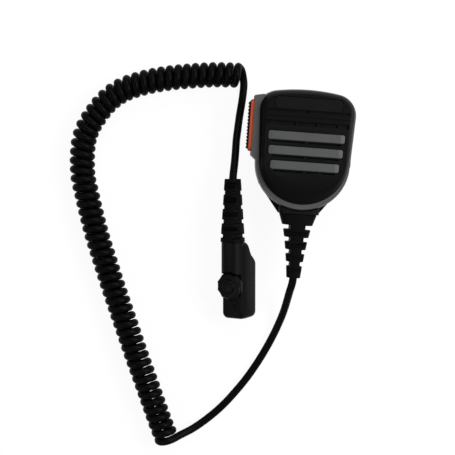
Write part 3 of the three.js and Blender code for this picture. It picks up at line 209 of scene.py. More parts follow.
def smooth_path(points, spacing):
    """Centripetal Catmull-Rom curve through the points, as points about spacing apart."""
    knots = [Vector(p) for p in points]
    knots = [2 * knots[0] - knots[1], *knots, 2 * knots[-1] - knots[-2]]
    path = []
    for p0, p1, p2, p3 in zip(knots, knots[1:], knots[2:], knots[3:]):
        t1 = math.sqrt((p1 - p0).length)
        t2 = t1 + math.sqrt((p2 - p1).length)
        t3 = t2 + math.sqrt((p3 - p2).length)
        steps = max(1, round((p2 - p1).length / spacing))
        for i in range(steps):
            t = t1 + (t2 - t1) * i / steps
            a1 = p0 * (t1 - t) / t1 + p1 * t / t1
            a2 = p1 * (t2 - t) / (t2 - t1) + p2 * (t - t1) / (t2 - t1)
            a3 = p2 * (t3 - t) / (t3 - t2) + p3 * (t - t2) / (t3 - t2)
            b1 = a1 * (t2 - t) / t2 + a2 * t / t2
            b2 = a2 * (t3 - t) / (t3 - t1) + a3 * (t - t1) / (t3 - t1)
            path.append(b1 * (t2 - t) / (t2 - t1) + b2 * (t - t1) / (t2 - t1))
    return [*path, knots[-2]]


def wire(name, points, radius, look):
    """Round wire through points given in metres."""
    curve = bpy.data.curves.new(name, "CURVE")
    curve.dimensions = "3D"
    curve.bevel_depth = radius
    curve.bevel_resolution = 5
    curve.use_fill_caps = True
    spline = curve.splines.new("POLY")
    spline.points.add(len(points) - 1)
    for knot, point in zip(spline.points, points):
        knot.co = (*point, 1)
    curve.materials.append(look)
    made = bpy.data.objects.new(name, curve)
    bpy.context.scene.collection.objects.link(made)
    return made


# ------------------------------------------------------------------ cord

WIRE_R = 0.00235
HELIX_R = 0.0053
TURNS = 59.2
STEPS_PER_TURN = 28
AXIS_STEP, CORD_STEP = 0.0005, 0.0022
HEADING_REACH = 8  # steps each way over which the axis's heading is taken

# Route from the strain relief on the head, laid down on the floor and up over the end of the coil.
MIC_LEAD = [
    (0, -0.074, 0.022), (0, -0.076, 0.022), (-0.0001, -0.0775, 0.0219), (-0.0004, -0.0802, 0.021),
    (-0.0009, -0.0834, 0.0189), (-0.0013, -0.0874, 0.016), (-0.0017, -0.0915, 0.013),
    (-0.0022, -0.0957, 0.0102), (-0.0029, -0.0998, 0.0077), (-0.0039, -0.104, 0.0055),
    (-0.0051, -0.1081, 0.0039), (-0.0064, -0.1121, 0.0029), (-0.0097, -0.1199, 0.0024),
    (-0.0135, -0.1277, 0.0024), (-0.0178, -0.1355, 0.0024), (-0.0227, -0.1434, 0.0024),
    (-0.0284, -0.1513, 0.0024), (-0.0348, -0.1593, 0.0024), (-0.0427, -0.1672, 0.0028),
    (-0.0527, -0.1748, 0.0048), (-0.0609, -0.1787, 0.0084), (-0.0656, -0.1806, 0.0118),
]
# Axis of the coil, which lies on the floor.
COIL_Z = 0.0077
COIL_AXIS = [(x, y, COIL_Z) for x, y in (
    (-0.0686, -0.1815), (-0.0725, -0.1732), (-0.078, -0.1603), (-0.0841, -0.1457), (-0.0903, -0.1312),
    (-0.0962, -0.1167), (-0.1021, -0.1023), (-0.1079, -0.0879), (-0.1134, -0.0736), (-0.1188, -0.0593),
    (-0.1234, -0.0451), (-0.1269, -0.0332), (-0.1293, -0.0249), (-0.1303, -0.0166), (-0.1306, -0.0094),
    (-0.1301, -0.0016), (-0.1279, 0.0061), (-0.1236, 0.014), (-0.1178, 0.022), (-0.1099, 0.0287),
    (-0.098, 0.034), (-0.0844, 0.0378), (-0.0708, 0.0403), (-0.0556, 0.0423), (-0.0406, 0.0432),
)]
# Route from the coil's end to the strain relief on the plug.
PLUG_LEAD = [
    (-0.0388, 0.0468, 0.0063), (-0.0379, 0.0449, 0.0052), (-0.0372, 0.0426, 0.0038),
    (-0.0364, 0.0387, 0.0027), (-0.0364, 0.0338, 0.0025), (-0.0369, 0.0265, 0.0028),
    (-0.0377, 0.0191, 0.004), (-0.0383, 0.0117, 0.0062), (-0.0389, 0.0043, 0.0092),
    (-0.0391, -0.003, 0.0127), (-0.0394, -0.0102, 0.0158), (-0.0397, -0.0148, 0.017),
    (-0.0398, -0.0187, 0.0173), (-0.0397, -0.0216, 0.0173),
]


def helix():
    """Left-handed turns about the coil's axis, starting over its lower end."""
    vertical = Vector((0, 0, 1))
    axis = smooth_path(COIL_AXIS, AXIS_STEP)
    lengths = [0.0]
    for a, b in zip(axis, axis[1:]):
        lengths.append(lengths[-1] + (b - a).length)
    count = round(TURNS * STEPS_PER_TURN)
    points, k = [], 0
    for i in range(count + 1):
        along = lengths[-1] * i / count
        while k < len(axis) - 2 and lengths[k + 1] < along:
            k += 1
        share = (along - lengths[k]) / (lengths[k + 1] - lengths[k])
        ahead, behind = min(k + HEADING_REACH, len(axis) - 1), max(k - HEADING_REACH, 0)
        side = (axis[ahead] - axis[behind]).normalized().cross(vertical)
        angle = 2 * math.pi * TURNS * i / count
        offset = math.cos(angle) * vertical - math.sin(angle) * side
        points.append(axis[k].lerp(axis[k + 1], share) + HELIX_R * offset)
    return points


cord_points = smooth_path([*MIC_LEAD, *helix(), *PLUG_LEAD], CORD_STEP)
cord = wire("curly_cord", cord_points, WIRE_R, JACKET)

# ------------------------------------------------------------------ shapes, in millimetres

# For each axis: the two directions of a section across it, and its own direction.
AXES = {
    "x": ((0, 1, 0), (0, 0, 1), (1, 0, 0)),
    "y": ((0, 0, 1), (1, 0, 0), (0, 1, 0)),
    "z": ((1, 0, 0), (0, 1, 0), (0, 0, 1)),
}
MERGE_WITHIN = 1e-4
BEVEL_SEGMENTS = 2


def arc(cx, cy, radius, start, end, steps):
    angles = [start + (end - start) * i / steps for i in range(steps + 1)]
    return [(cx + radius * math.cos(a), cy + radius * math.sin(a)) for a in angles]


def circle(cx, cy, radius, sides=48):
    return arc(cx, cy, radius, 0, 2 * math.pi, sides)[:-1]


def rectangle(x_span, y_span, radius=0.0, steps=7):
    (x0, x1), (y0, y1) = x_span, y_span
    if radius <= 0:
        return [(x1, y0), (x1, y1), (x0, y1), (x0, y0)]
    points = []
    for x, y, quarter in ((x1, y0, -1), (x1, y1, 0), (x0, y1, 1), (x0, y0, 2)):
        cx = x - radius if x == x1 else x + radius
        cy = y - radius if y == y1 else y + radius
        points += arc(cx, cy, radius, quarter * math.pi / 2, (quarter + 1) * math.pi / 2, steps)
    return points


def blend(a, b, t):
    return [((1 - t) * p[0] + t * q[0], (1 - t) * p[1] + t * q[1]) for p, q in zip(a, b)]


def mesh_of(verts, faces):
    """Closed mesh with shared corners merged and its faces turned outward."""
    work = bmesh.new()
    made = [work.verts.new(v) for v in verts]
    for face in faces:
        work.faces.new([made[i] for i in face])
    bmesh.ops.remove_doubles(work, verts=work.verts, dist=MERGE_WITHIN)
    bmesh.ops.recalc_face_normals(work, faces=work.faces)
    mesh = bpy.data.meshes.new("shape")
    work.to_mesh(mesh)
    work.free()
    return mesh


def loft(axis, rings):
    """Closed mesh through rings: each is a place along the axis and a section, all with as many points."""
    u_axis, v_axis, w_axis = (Vector(a) for a in AXES[axis])
    count = len(rings[0][1])
    verts = [u * u_axis + v * v_axis + at * w_axis for at, points in rings for u, v in points]
    faces = [tuple(reversed(range(count)))]
    for start in range(0, (len(rings) - 1) * count, count):
        for i in range(count):
            j = (i + 1) % count
            faces.append((start + i, start + j, start + count + j, start + count + i))
    faces.append(tuple(range((len(rings) - 1) * count, len(rings) * count)))
    return mesh_of(verts, faces)


def prism(axis, section, start, end):
    return loft(axis, [(start, section), (end, section)])


def box(x_span, y_span, z_span):
    return prism("z", rectangle(x_span, y_span), *z_span)


def turned(profile, x=0.0, y=0.0, sides=56):
    """Closed [radius, height] profile turned about a line parallel to z."""
    verts = [
        (x + r * math.cos(a), y + r * math.sin(a), z)
        for a in (2 * math.pi * i / sides for i in range(sides)) for r, z in profile
    ]
    count, faces = len(profile), []
    for i in range(sides):
        near, far = i * count, ((i + 1) % sides) * count
        for k in range(count):
            n = (k + 1) % count
            if profile[k][0] == 0 and profile[n][0] == 0:
                continue
            corners = [near + k, far + k, far + n, near + n]
            if profile[k][0] == 0:
                corners = [near + k, far + n, near + n]
            elif profile[n][0] == 0:
                corners = [near + k, far + k, near + n]
            faces.append(tuple(corners))
    return mesh_of(verts, faces)


def combined(operation, body, tools):
    """Boolean of a mesh with each of the tools in turn."""
    for tool in tools:
        base, other = (bpy.data.objects.new("boolean", m) for m in (body, tool))
        for item in (base, other):
            bpy.context.scene.collection.objects.link(item)
        step = base.modifiers.new("boolean", "BOOLEAN")
        step.operation, step.solver, step.object = operation, "MANIFOLD", other
        body = bpy.data.meshes.new_from_object(base.evaluated_get(bpy.context.evaluated_depsgraph_get()))
        for item in (base, other):
            bpy.data.objects.remove(item)
    return body


def join(body, *tools):
    return combined("UNION", body, tools)


def cut(body, *tools):
    """The body less the tools, which reach a little past each face that they open."""
    return combined("DIFFERENCE", body, tools)


def place(name, mesh, look, body, rounding=0.2, matrix=None, sharp=32, clamp=True):
    """Makes a shape a piece: smooth faces, small rounded edges, its material and the node it stands for."""
    mesh = mesh.copy()
    mesh.transform(Matrix.Scale(MM, 4) @ (matrix or Matrix.Identity(4)))
    mesh.materials.clear()
    mesh.materials.append(look)
    mesh.shade_smooth()
    mesh.set_sharp_from_angle(angle=math.radians(sharp))
    made = bpy.data.objects.new(name, mesh)
    bpy.context.scene.collection.objects.link(made)
    if rounding:
        edge = made.modifiers.new("rounded edges", "BEVEL")
        edge.width = rounding * MM
        edge.segments = BEVEL_SEGMENTS
        edge.limit_method = "ANGLE"
        edge.angle_limit = math.radians(sharp)
        edge.use_clamp_overlap = clamp
        edge.harden_normals = True
    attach(made, body)
    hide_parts(name.removeprefix("fine_"))
    return made


# ------------------------------------------------------------------ head outlines

HEAD_TOP, HEAD_BOTTOM, HEAD_WIDTH = 35, -31.3, 55.2
BACK_Z, SEAM_Z, RIM_Z, PANEL_Z, INNER_Z = 11.5, 21, 30.4, 36.4, 34.2
WALL, SKIRT_WALL, FRAME_OUT, FRAME_IN = 1.8, 1.6, 1.8, 1.5
FINE = 4  # how many times finer than the CAD outlines
BEZEL_RISE, BEZEL_BEND = 1.6, 0.6


def outline(spec):
    """Five arcs a side: crown, upper corner, a straight side, lower cheek and bottom."""
    corner_x = spec["half"] - spec["corner_r"]
    crown_y = spec["top"] - spec["crown_r"]
    corner_y = crown_y + math.sqrt((spec["crown_r"] - spec["corner_r"]) ** 2 - corner_x ** 2)
    cheek_r = spec["low_half"] - spec["cheek_x"]
    bottom_r = cheek_r + spec["flatness"]
    bottom_y = spec["bottom"] + bottom_r
    cheek_y = bottom_y - math.sqrt(spec["flatness"] ** 2 - spec["cheek_x"] ** 2)
    rise_x, rise_y = corner_x - spec["cheek_x"], corner_y - cheek_y
    side = math.atan2(rise_y, rise_x) - math.acos((cheek_r - spec["corner_r"]) / math.hypot(rise_x, rise_y))
    cheek_start = math.atan2(cheek_y - bottom_y, spec["cheek_x"])
    crown_start = math.atan2(corner_y - crown_y, corner_x)
    half = [
        *arc(0, bottom_y, bottom_r, -math.pi / 2, cheek_start, 2 * FINE),
        *arc(spec["cheek_x"], cheek_y, cheek_r, cheek_start, side, 4 * FINE)[1:],
        *arc(corner_x, corner_y, spec["corner_r"], side, crown_start, 3 * FINE),
        *arc(0, crown_y, spec["crown_r"], crown_start, math.pi / 2, 2 * FINE)[1:],
    ]
    return half + [(-x, y) for x, y in reversed(half[1:-1])]


def grown(spec, by):
    return {
        **spec, "half": spec["half"] + by, "low_half": spec["low_half"] + by, "top": spec["top"] + by,
        "bottom": spec["bottom"] - by, "crown_r": spec["crown_r"] + by, "corner_r": spec["corner_r"] + by,
    }


RIM = {
    "half": HEAD_WIDTH / 2, "low_half": 26.2, "cheek_x": 0.6, "flatness": 1.4,
    "top": HEAD_TOP, "bottom": HEAD_BOTTOM, "crown_r": 111, "corner_r": 11,
}
PANEL = {
    "half": 24, "low_half": 24, "cheek_x": 11.5, "flatness": 21.5,
    "top": HEAD_TOP - 3, "bottom": HEAD_BOTTOM + 9, "crown_r": 108, "corner_r": 7,
}
FRAME = {**grown(RIM, FRAME_OUT), "top": HEAD_TOP + 1, "bottom": HEAD_BOTTOM - 3.7}
FRAME_BORE = grown(RIM, -FRAME_IN)
SKIRT = grown(FRAME_BORE, -GAP)
CAVITY = grown(SKIRT, -SKIRT_WALL)
FRAME_X = FRAME["half"]


def slope(wide, narrow, z0, z1, steps=10):
    """Bezel that rises steeply from the rim and flattens, with a crease where it meets the panel."""
    rings = []
    for i in range(steps + 1):
        s = i / steps
        rings.append((z0 + (z1 - z0) * (BEZEL_RISE * s - BEZEL_BEND * s * s), blend(wide, narrow, s)))
    return rings


# ------------------------------------------------------------------ front cover

SKIRT_DEPTH = 5
BAR_HALVES = [PANEL["half"] - margin for margin in (1.85, 2.45, 4.05)]
BAR_CENTRES = [HEAD_TOP - 27 - 8.5 * i for i in range(3)]
BAR_TALL, BAR_SUNK, BAR_PROUD, BAR_CORNER = 2.5, 1.2, 0.5, 1.2
BAR_LIP, BAR_FACE_INSET, BAR_FACE_TALL, BAR_FACE_CORNER = 0.1, 2.4, 2.1, 0.8
LABEL_HALF, LABEL_TOP, LABEL_HEIGHT, LABEL_CORNER, LABEL_THICKNESS = 19.8, HEAD_TOP - 4.7, 6.9, 2.5, 0.6
PORT_DROP, PORT_R = 12.5, 0.6
LOUVRE_DROP, LOUVRE_HALF, LOUVRE_RIB, LOUVRE_TALL, LOUVRES = 19.7, 18.3, 0.6, 0.9, 3
GROOVES = ((PORT_DROP, 1.3, 1.0), (15.9, 0.6, 0.5), (LOUVRE_DROP, 2.6, 1.4))  # drop, width and depth
SLIT_DROP, SLIT_TALL, SLIT_INNER, SLIT_MARGIN = 3.5, 0.375, 0.8, 2.2


def label_section(grow):
    half, top = LABEL_HALF + grow, LABEL_TOP + grow
    return rectangle((-half, half), (top - LABEL_HEIGHT - grow, top), LABEL_CORNER)


def bar_section(half, y, grow):
    tall = BAR_TALL + grow
    return rectangle((-half - grow, half + grow), (y - tall, y + tall), BAR_CORNER)


def front_cover():
    above, inside = PANEL_Z + 1, INNER_Z - 1
    skin = loft("z", [
        (RIM_Z - SKIRT_DEPTH, outline(SKIRT)), (RIM_Z + GAP, outline(SKIRT)),
        *slope(outline(RIM), outline(PANEL), RIM_Z + GAP, PANEL_Z),
    ])
    hollow = loft("z", [
        (RIM_Z - SKIRT_DEPTH - 1, outline(CAVITY)),
        *slope(outline(CAVITY), outline(grown(PANEL, -SKIRT_WALL)), RIM_Z, INNER_Z),
    ])
    cuts = [prism("z", label_section(GAP), PANEL_Z - LABEL_THICKNESS - GAP, above)]
    for drop, width, depth in GROOVES:
        y = HEAD_TOP - drop
        span = (y - width / 2, y + width / 2)
        cuts.append(box((-PANEL["half"], PANEL["half"]), span, (PANEL_Z - depth, above)))
    cuts.append(prism("z", circle(0, HEAD_TOP - PORT_DROP, PORT_R), inside, above))
    pitch = 2 * LOUVRE_HALF / LOUVRES
    for i in range(LOUVRES):
        left = -LOUVRE_HALF + i * pitch
        y = HEAD_TOP - LOUVRE_DROP
        cuts.append(box((left + LOUVRE_RIB, left + pitch - LOUVRE_RIB), (y - LOUVRE_TALL, y + LOUVRE_TALL),
                        (inside, above)))
    for half, y in zip(BAR_HALVES, BAR_CENTRES):
        cuts.append(prism("z", bar_section(half, y, GAP), PANEL_Z - BAR_SUNK - GAP, above))
        slit = (y - SLIT_DROP - SLIT_TALL, y - SLIT_DROP + SLIT_TALL)
        for span in ((SLIT_INNER, half - SLIT_MARGIN), (SLIT_MARGIN - half, -SLIT_INNER)):
            cuts.append(box(span, slit, (inside, above)))
    return cut(cut(skin, hollow), *cuts)


def grille_bar(half, y):
    shoulder = bar_section(half, y, 0)
    face = rectangle((-half + BAR_FACE_INSET, half - BAR_FACE_INSET), (y - BAR_FACE_TALL, y + BAR_FACE_TALL),
                     BAR_FACE_CORNER)
    return loft("z", [
        (PANEL_Z - BAR_SUNK, shoulder), (PANEL_Z + BAR_LIP, shoulder), (PANEL_Z + BAR_PROUD, face),
    ])


place("fine_front_cover", front_cover(), COVER, "head", rounding=0.18)
place("fine_label_plate", prism("z", label_section(0), PANEL_Z - LABEL_THICKNESS, PANEL_Z), LABEL_FACE,
      "head")
for bar_name, half, y in zip(("upper", "middle", "lower"), BAR_HALVES, BAR_CENTRES):
    place(f"fine_{bar_name}_grille_bar", grille_bar(half, y), BAR_GREY, "head",
          rounding=0.12, sharp=6)

# ------------------------------------------------------------------ side frame and rear cover

TALK_TOP, TALK_BOTTOM = HEAD_TOP - 6.9, HEAD_TOP - 37.1
TALK_Y, TALK_Z, TALK_HALF = (TALK_TOP + TALK_BOTTOM) / 2, (SEAM_Z + RIM_Z) / 2 + 0.4, 3.9
TALK_CORNER, STEM_BORE_R = 3, 2.9
SEAT_X, WELL_FLOOR_X = -(FRAME_X + 1.6), -(FRAME_X - 0.7)
JACK_Y, JACK_Z, FLAP_X = -2, SEAM_Z + 4.2, FRAME["low_half"] - 1.1
JACK_BORE_R, FLAP_HALF_Y, FLAP_HALF_Z = 2.9, 5.7, 3.2
NECK_Y, NECK_HALF, CORD_Z = HEAD_BOTTOM - 5.7, 12, 22
FRAME_SECTIONS = (  # height and inset of the frame's outline
    (SEAM_Z, 0.6), (SEAM_Z + 0.7, 0.18), (SEAM_Z + 1.5, 0),
    (RIM_Z - 2.4, 0.2), (RIM_Z - 1.1, 0.45), (RIM_Z, 0.9),
)
REAR_SECTIONS = (  # height over the back and inset of the rear cover's outline
    (0, 5.5), (0.3, 4.7), (0.7, 4), (1.5, 3.1), (2.5, 2.4), (4, 1.7), (5.5, 1.2), (9.2, 0.7),
)
SCREW_PLACES = [(17.5, 22), (-17.5, 22), (12.5, -19), (-12.5, -19)]
COUNTERBORE_R, BOSS_R, SHANK_BORE_R = 2.5, 3.2, 1.3
SWIVEL_BOSS_R, SWIVEL_BORE_R = 5, 1.7


def talk_section(grow):
    return rectangle((TALK_BOTTOM - grow, TALK_TOP + grow),
                     (TALK_Z - TALK_HALF - grow, TALK_Z + TALK_HALF + grow), TALK_CORNER + grow)


def cord_passage():
    return (prism("y", circle(CORD_Z, 0, 4.8), NECK_Y - 1, NECK_Y + 6),
            prism("y", circle(CORD_Z, 0, 6.1), NECK_Y + 3.6, NECK_Y + 10))


def side_frame():
    ring = loft("z", [(z, outline(grown(FRAME, -inset))) for z, inset in FRAME_SECTIONS])
    seat = prism("z", [(-FRAME_X + 4, TALK_TOP + 3.4), (SEAT_X, TALK_TOP + 2.3), (SEAT_X, TALK_BOTTOM - 2.3),
                       (-FRAME_X + 4, TALK_BOTTOM - 7)], SEAM_Z, RIM_Z + 0.6)
    # One more gap below the flap leaves room for its hinged end.
    pocket = rectangle((JACK_Y - FLAP_HALF_Y - 2 * GAP, JACK_Y + FLAP_HALF_Y + GAP),
                       (JACK_Z - FLAP_HALF_Z - GAP, JACK_Z + FLAP_HALF_Z + GAP))
    return cut(
        join(ring, seat),
        prism("z", outline(FRAME_BORE), SEAM_Z - 1, RIM_Z + 1),
        prism("z", outline(grown(RIM, GAP)), RIM_Z, RIM_Z + 1),
        prism("x", talk_section(GAP), SEAT_X - 1, WELL_FLOOR_X),
        prism("x", circle(TALK_Y, TALK_Z, STEM_BORE_R), WELL_FLOOR_X - 1, -FRAME_BORE["half"] + 1),
        prism("x", circle(JACK_Y, JACK_Z, JACK_BORE_R), FRAME_BORE["low_half"] - 2, FRAME_X + 1),
        prism("x", pocket, FLAP_X - GAP, FRAME_X + 1),
        *cord_passage(),
    )


def neck():
    """Wedge from the rear cover to the strain relief, with the rounded collar that holds the relief."""
    shoulder_x, shoulder_y = FRAME["low_half"] - 2.9, NECK_Y + 17

    def wedge(inset, foot):
        return [
            (-NECK_HALF + inset, foot), (NECK_HALF - inset, foot), (shoulder_x - inset, shoulder_y),
            (shoulder_x - 6 - inset, shoulder_y + 4), (-shoulder_x + 6 + inset, shoulder_y + 4),
            (-shoulder_x + inset, shoulder_y),
        ]

    body = loft("z", [
        (BACK_Z + 2.6, wedge(3.4, NECK_Y + 1.2)), (BACK_Z + 3.4, wedge(2, NECK_Y + 0.5)),
        (BACK_Z + 4.6, wedge(1.2, NECK_Y + 0.2)), (SEAM_Z - GAP, wedge(0, NECK_Y)),
    ])
    collar = rectangle((CORD_Z - 7.9, CORD_Z + 7.7), (-NECK_HALF, NECK_HALF), 4.5)
    return cut(join(body, prism("y", collar, NECK_Y, NECK_Y + 10)),
               prism("z", outline(grown(FRAME, GAP)), SEAM_Z - GAP, RIM_Z + 5))


def rear_cover():
    shell = loft("z", [(BACK_Z + rise, outline(grown(FRAME, -inset))) for rise, inset in REAR_SECTIONS])
    inner = grown(FRAME, -3.3)
    hollow = loft("z", [
        (BACK_Z + WALL, outline(grown(inner, -3.6))), (BACK_Z + WALL + 2, outline(grown(inner, -0.8))),
        (SEAM_Z + 1, outline(inner)),
    ])
    bosses = [prism("z", circle(x, y, BOSS_R), BACK_Z + 1, SEAM_Z) for x, y in SCREW_PLACES]
    swivel_boss = prism("z", circle(0, 0, SWIVEL_BOSS_R), BACK_Z + 1, BACK_Z + 5.5)
    return cut(
        join(cut(join(shell, neck()), hollow), *bosses, swivel_boss),
        *[prism("z", circle(x, y, COUNTERBORE_R), BACK_Z - 1, BACK_Z + 2.5) for x, y in SCREW_PLACES],
        *[prism("z", circle(x, y, SHANK_BORE_R), BACK_Z - 1, SEAM_Z + 1) for x, y in SCREW_PLACES],
        prism("z", circle(0, 0, SWIVEL_BORE_R), BACK_Z - 1, BACK_Z + 7),
        *cord_passage(),
    )


place("fine_side_frame", side_frame(), FRAME_GREY, "head")
place("fine_rear_cover", rear_cover(), COVER, "head")

# ------------------------------------------------------------------ talk button and jack flap

BUTTON_IN_X, BUTTON_OUT_X = WELL_FLOOR_X - 1.5, SEAT_X - 2
BUTTON_EDGE, BUTTON_EDGE_STEPS = 0.9, 5
GRIP_TEETH, GRIP_TOOTH_DEPTH = 14, 0.6
GRIP_CREST = (0.35, 0.65)  # ends of a tooth's crest, as shares of the pitch
FLAP_THICKNESS, FLAP_STUD_R = 1.1, 1.3


def talk_button():
    rings = [(BUTTON_IN_X, talk_section(0))]
    for i in range(BUTTON_EDGE_STEPS + 1):
        angle = i / BUTTON_EDGE_STEPS * math.pi / 2
        rings.insert(0, (BUTTON_OUT_X + BUTTON_EDGE * (1 - math.sin(angle)),
                         talk_section(-BUTTON_EDGE * (1 - math.cos(angle)))))
    grip_seat = box((BUTTON_OUT_X - 1, BUTTON_OUT_X + 0.5), (TALK_BOTTOM + 1, TALK_TOP - 1),
                    (TALK_Z - 2.9, TALK_Z + 2.9))
    stem_seat = prism("x", circle(TALK_Y, TALK_Z, 3), BUTTON_IN_X - 1.2, BUTTON_IN_X + 1)
    return cut(loft("x", rings), grip_seat, stem_seat)


def talk_grip():
    low, high = TALK_BOTTOM + 1.3, TALK_TOP - 1.3
    pitch = (high - low) / GRIP_TEETH
    foot, crest = BUTTON_OUT_X + 0.2, BUTTON_OUT_X - 1.1
    points = [(foot, low), (foot, high)]
    for i in range(GRIP_TEETH, 0, -1):
        points.append((crest + GRIP_TOOTH_DEPTH, low + i * pitch))
        points += [(crest, low + (i - share) * pitch) for share in GRIP_CREST]
    points.append((crest + GRIP_TOOTH_DEPTH, low))
    return prism("z", points, TALK_Z - 2.6, TALK_Z + 2.6)


def jack_flap():
    section = rectangle((JACK_Y - FLAP_HALF_Y, JACK_Y + FLAP_HALF_Y),
                        (JACK_Z - FLAP_HALF_Z, JACK_Z + FLAP_HALF_Z), 1)
    stud = prism("x", circle(JACK_Y, JACK_Z, FLAP_STUD_R), FLAP_X - 1.5, FLAP_X + 0.5)
    return join(prism("x", section, FLAP_X, FLAP_X + FLAP_THICKNESS), stud)


place("fine_ptt_button", talk_button(), ORANGE, "talk_button", rounding=0.15)
place("fine_ptt_grip", talk_grip(), RUBBER, "talk_button", rounding=0.15)
place("fine_jack_cover", jack_flap(), RUBBER, "jack_flap", rounding=0.3)

# ------------------------------------------------------------------ strain reliefs

BOOT_ROUNDNESS, BOOT_SIDES, BOOT_RINGS = 0.8, 64, 30
SLOT_PAIRS = 4


def boot_section(half_x, half_y):
    def squarer(value):
        return math.copysign(abs(value) ** BOOT_ROUNDNESS, value)
    return [(half_x * squarer(x), half_y * squarer(y)) for x, y in circle(0, 0, 1, BOOT_SIDES)]


def strain_relief(stations, first, pitch, side, face, core, core_shrink, root):
    """Tapered boot along +z through (z, half x, half y) stations, with slots by turns in its sides and faces.

    first is where the slots start, side and face are their widths, and core is what they leave in the middle.
    """
    def size_at(z):
        for (z0, x0, y0), (z1, x1, y1) in zip(stations, stations[1:]):
            if z <= z1:
                t = (z - z0) / (z1 - z0)
                return x0 + (x1 - x0) * t, y0 + (y1 - y0) * t
        return stations[-1][1:]

    length = stations[-1][0]
    levels = [length * i / BOOT_RINGS for i in range(BOOT_RINGS + 1)]
    boot = loft("z", [(z, boot_section(*size_at(z))) for z in levels])
    reach, cuts = stations[0][1] + 1, []
    for i in range(SLOT_PAIRS):
        side_z = first + i * pitch
        face_z = side_z + side / 2 + pitch / 2 - face / 2
        heart = core - i * core_shrink
        cheek = size_at(face_z)[0] - 1
        for outward in ((heart, reach), (-reach, -heart)):
            cuts.append(box(outward, (-reach, reach), (side_z, side_z + side)))
            cuts.append(box((-cheek, cheek), outward, (face_z, face_z + face)))
    return cut(join(boot, *root), *cuts)


def relief_root(r, flange_r, length, flange):
    """Stem and flange that hold the relief in its housing."""
    return (prism("z", circle(0, 0, r), -length, 1),
            prism("z", circle(0, 0, flange_r), -length, flange - length))


MIC_STATIONS = [(0, 11.2, 7.7), (6.3, 9.05, 6.9), (9.1, 8.15, 6.4), (16.4, 6.75, 5.6), (23.7, 5.7, 5),
                (31, 4.75, 4.4), (38, 4.1, 3.9)]
mic_relief_place = Matrix(((1, 0, 0, 0), (0, 0, -1, NECK_Y - GAP), (0, 1, 0, CORD_Z), (0, 0, 0, 1)))
mic_relief = strain_relief(MIC_STATIONS, first=6.4, pitch=7.3, side=2.7, face=1.8, core=4.4, core_shrink=0.5,
                           root=relief_root(r=4.5, flange_r=5.8, length=5.8, flange=1.6))
place("fine_mic_strain_relief", mic_relief, RUBBER, "head", rounding=0.35,
      matrix=mic_relief_place, clamp=False)

# ------------------------------------------------------------------ belt clip

PIN_Y, PIN_Z, PIN_R, LUG_R = 10, 5.3, 1, 2.4
BASE_TOP_Z = BACK_Z - GAP
BASE_Z = BASE_TOP_Z - 2.6
SCREW_HEAD, WASHER = 1.8, 0.6
SCREW_HEAD_Z = BASE_Z - 2 * GAP - WASHER - SCREW_HEAD
BASE_HALF, ARM_HALF, ARM_TOP = 10, 9, 2.4
EAR_X, EAR_HALF, LUG_X, LUG_HALF = 8.45, 1.15, 5.8, 1.2
SPRING_R, SPRING_TURNS, SPRING_STEPS, SPRING_LEG = 0.35, 8, 20, 4.4
SWIVEL_HEAD_R, SWIVEL_SHOULDER_R, SWIVEL_THREAD_R = 4.5, 3, 1.5


def pin_bore():
    return prism("x", circle(PIN_Y, PIN_Z, PIN_R + GAP), -2 * BASE_HALF, 2 * BASE_HALF)


def clip_base():
    plate = prism("z", rectangle((-BASE_HALF, BASE_HALF), (-11, PIN_Y + 5), 4), BASE_Z, BASE_TOP_Z)
    ear = [*arc(PIN_Y, PIN_Z, LUG_R, math.pi, 2 * math.pi, 24), (PIN_Y + 3.5, BASE_Z + 1),
           (PIN_Y - 3.5, BASE_Z + 1)]
    ears = [prism("x", ear, side * EAR_X - EAR_HALF, side * EAR_X + EAR_HALF) for side in (-1, 1)]
    screw_bore = prism("z", circle(0, 0, SWIVEL_SHOULDER_R + GAP), BASE_Z - 1, BASE_TOP_Z + 1)
    return cut(join(plate, *ears), screw_bore, pin_bore())


def clip_arm():
    jaw, thumb = -24.5, 27
    profile = [
        (thumb - 1.2, 0), (jaw + 3.6, 0), (jaw + 1.2, 1.3), (jaw, 3.6), (jaw, BACK_Z - 2),
        (jaw + 0.6, BACK_Z - 0.8), (jaw + 1.8, BACK_Z - 0.5), (jaw + 2.7, BACK_Z - 1.2),
        (jaw + 2.7, ARM_TOP + 2.2), (jaw + 3.4, ARM_TOP + 0.8), (jaw + 5, ARM_TOP),
        (thumb - 0.7, ARM_TOP), (thumb, ARM_TOP - 0.2), (thumb, 0.7),
    ]
    plate = prism("x", profile, -ARM_HALF, ARM_HALF)
    corners = [
        prism("z", [(side * 9.1, jaw - 1), (side * 9.1, jaw + 9), (side * 6, jaw - 1)], -1, BACK_Z)
        for side in (-1, 1)
    ]
    lug = [*arc(PIN_Y, PIN_Z, LUG_R, 0, math.pi, 24), (PIN_Y - LUG_R, ARM_TOP - 1),
           (PIN_Y + LUG_R, ARM_TOP - 1)]
    lugs = [prism("x", lug, side * LUG_X - LUG_HALF, side * LUG_X + LUG_HALF) for side in (-1, 1)]
    return cut(join(plate, *lugs), pin_bore(), *corners)


def torsion_spring():
    """Turns of wire round the pin, with a leg to each leaf of the clip, in metres."""
    turn_r, half = PIN_R + 0.85, 3.4
    count = SPRING_TURNS * SPRING_STEPS + SPRING_STEPS // 2
    points = [(half, PIN_Y - SPRING_LEG, BASE_Z - GAP - SPRING_R)]
    for i in range(count + 1):
        angle = math.pi / 2 + 2 * math.pi * i / SPRING_STEPS
        x = half - 2 * half * i / count
        points.append((x, PIN_Y + turn_r * math.cos(angle), PIN_Z + turn_r * math.sin(angle)))
    points.append((-half, PIN_Y - SPRING_LEG, ARM_TOP + GAP + SPRING_R))
    return [tuple(c * MM for c in p) for p in points]


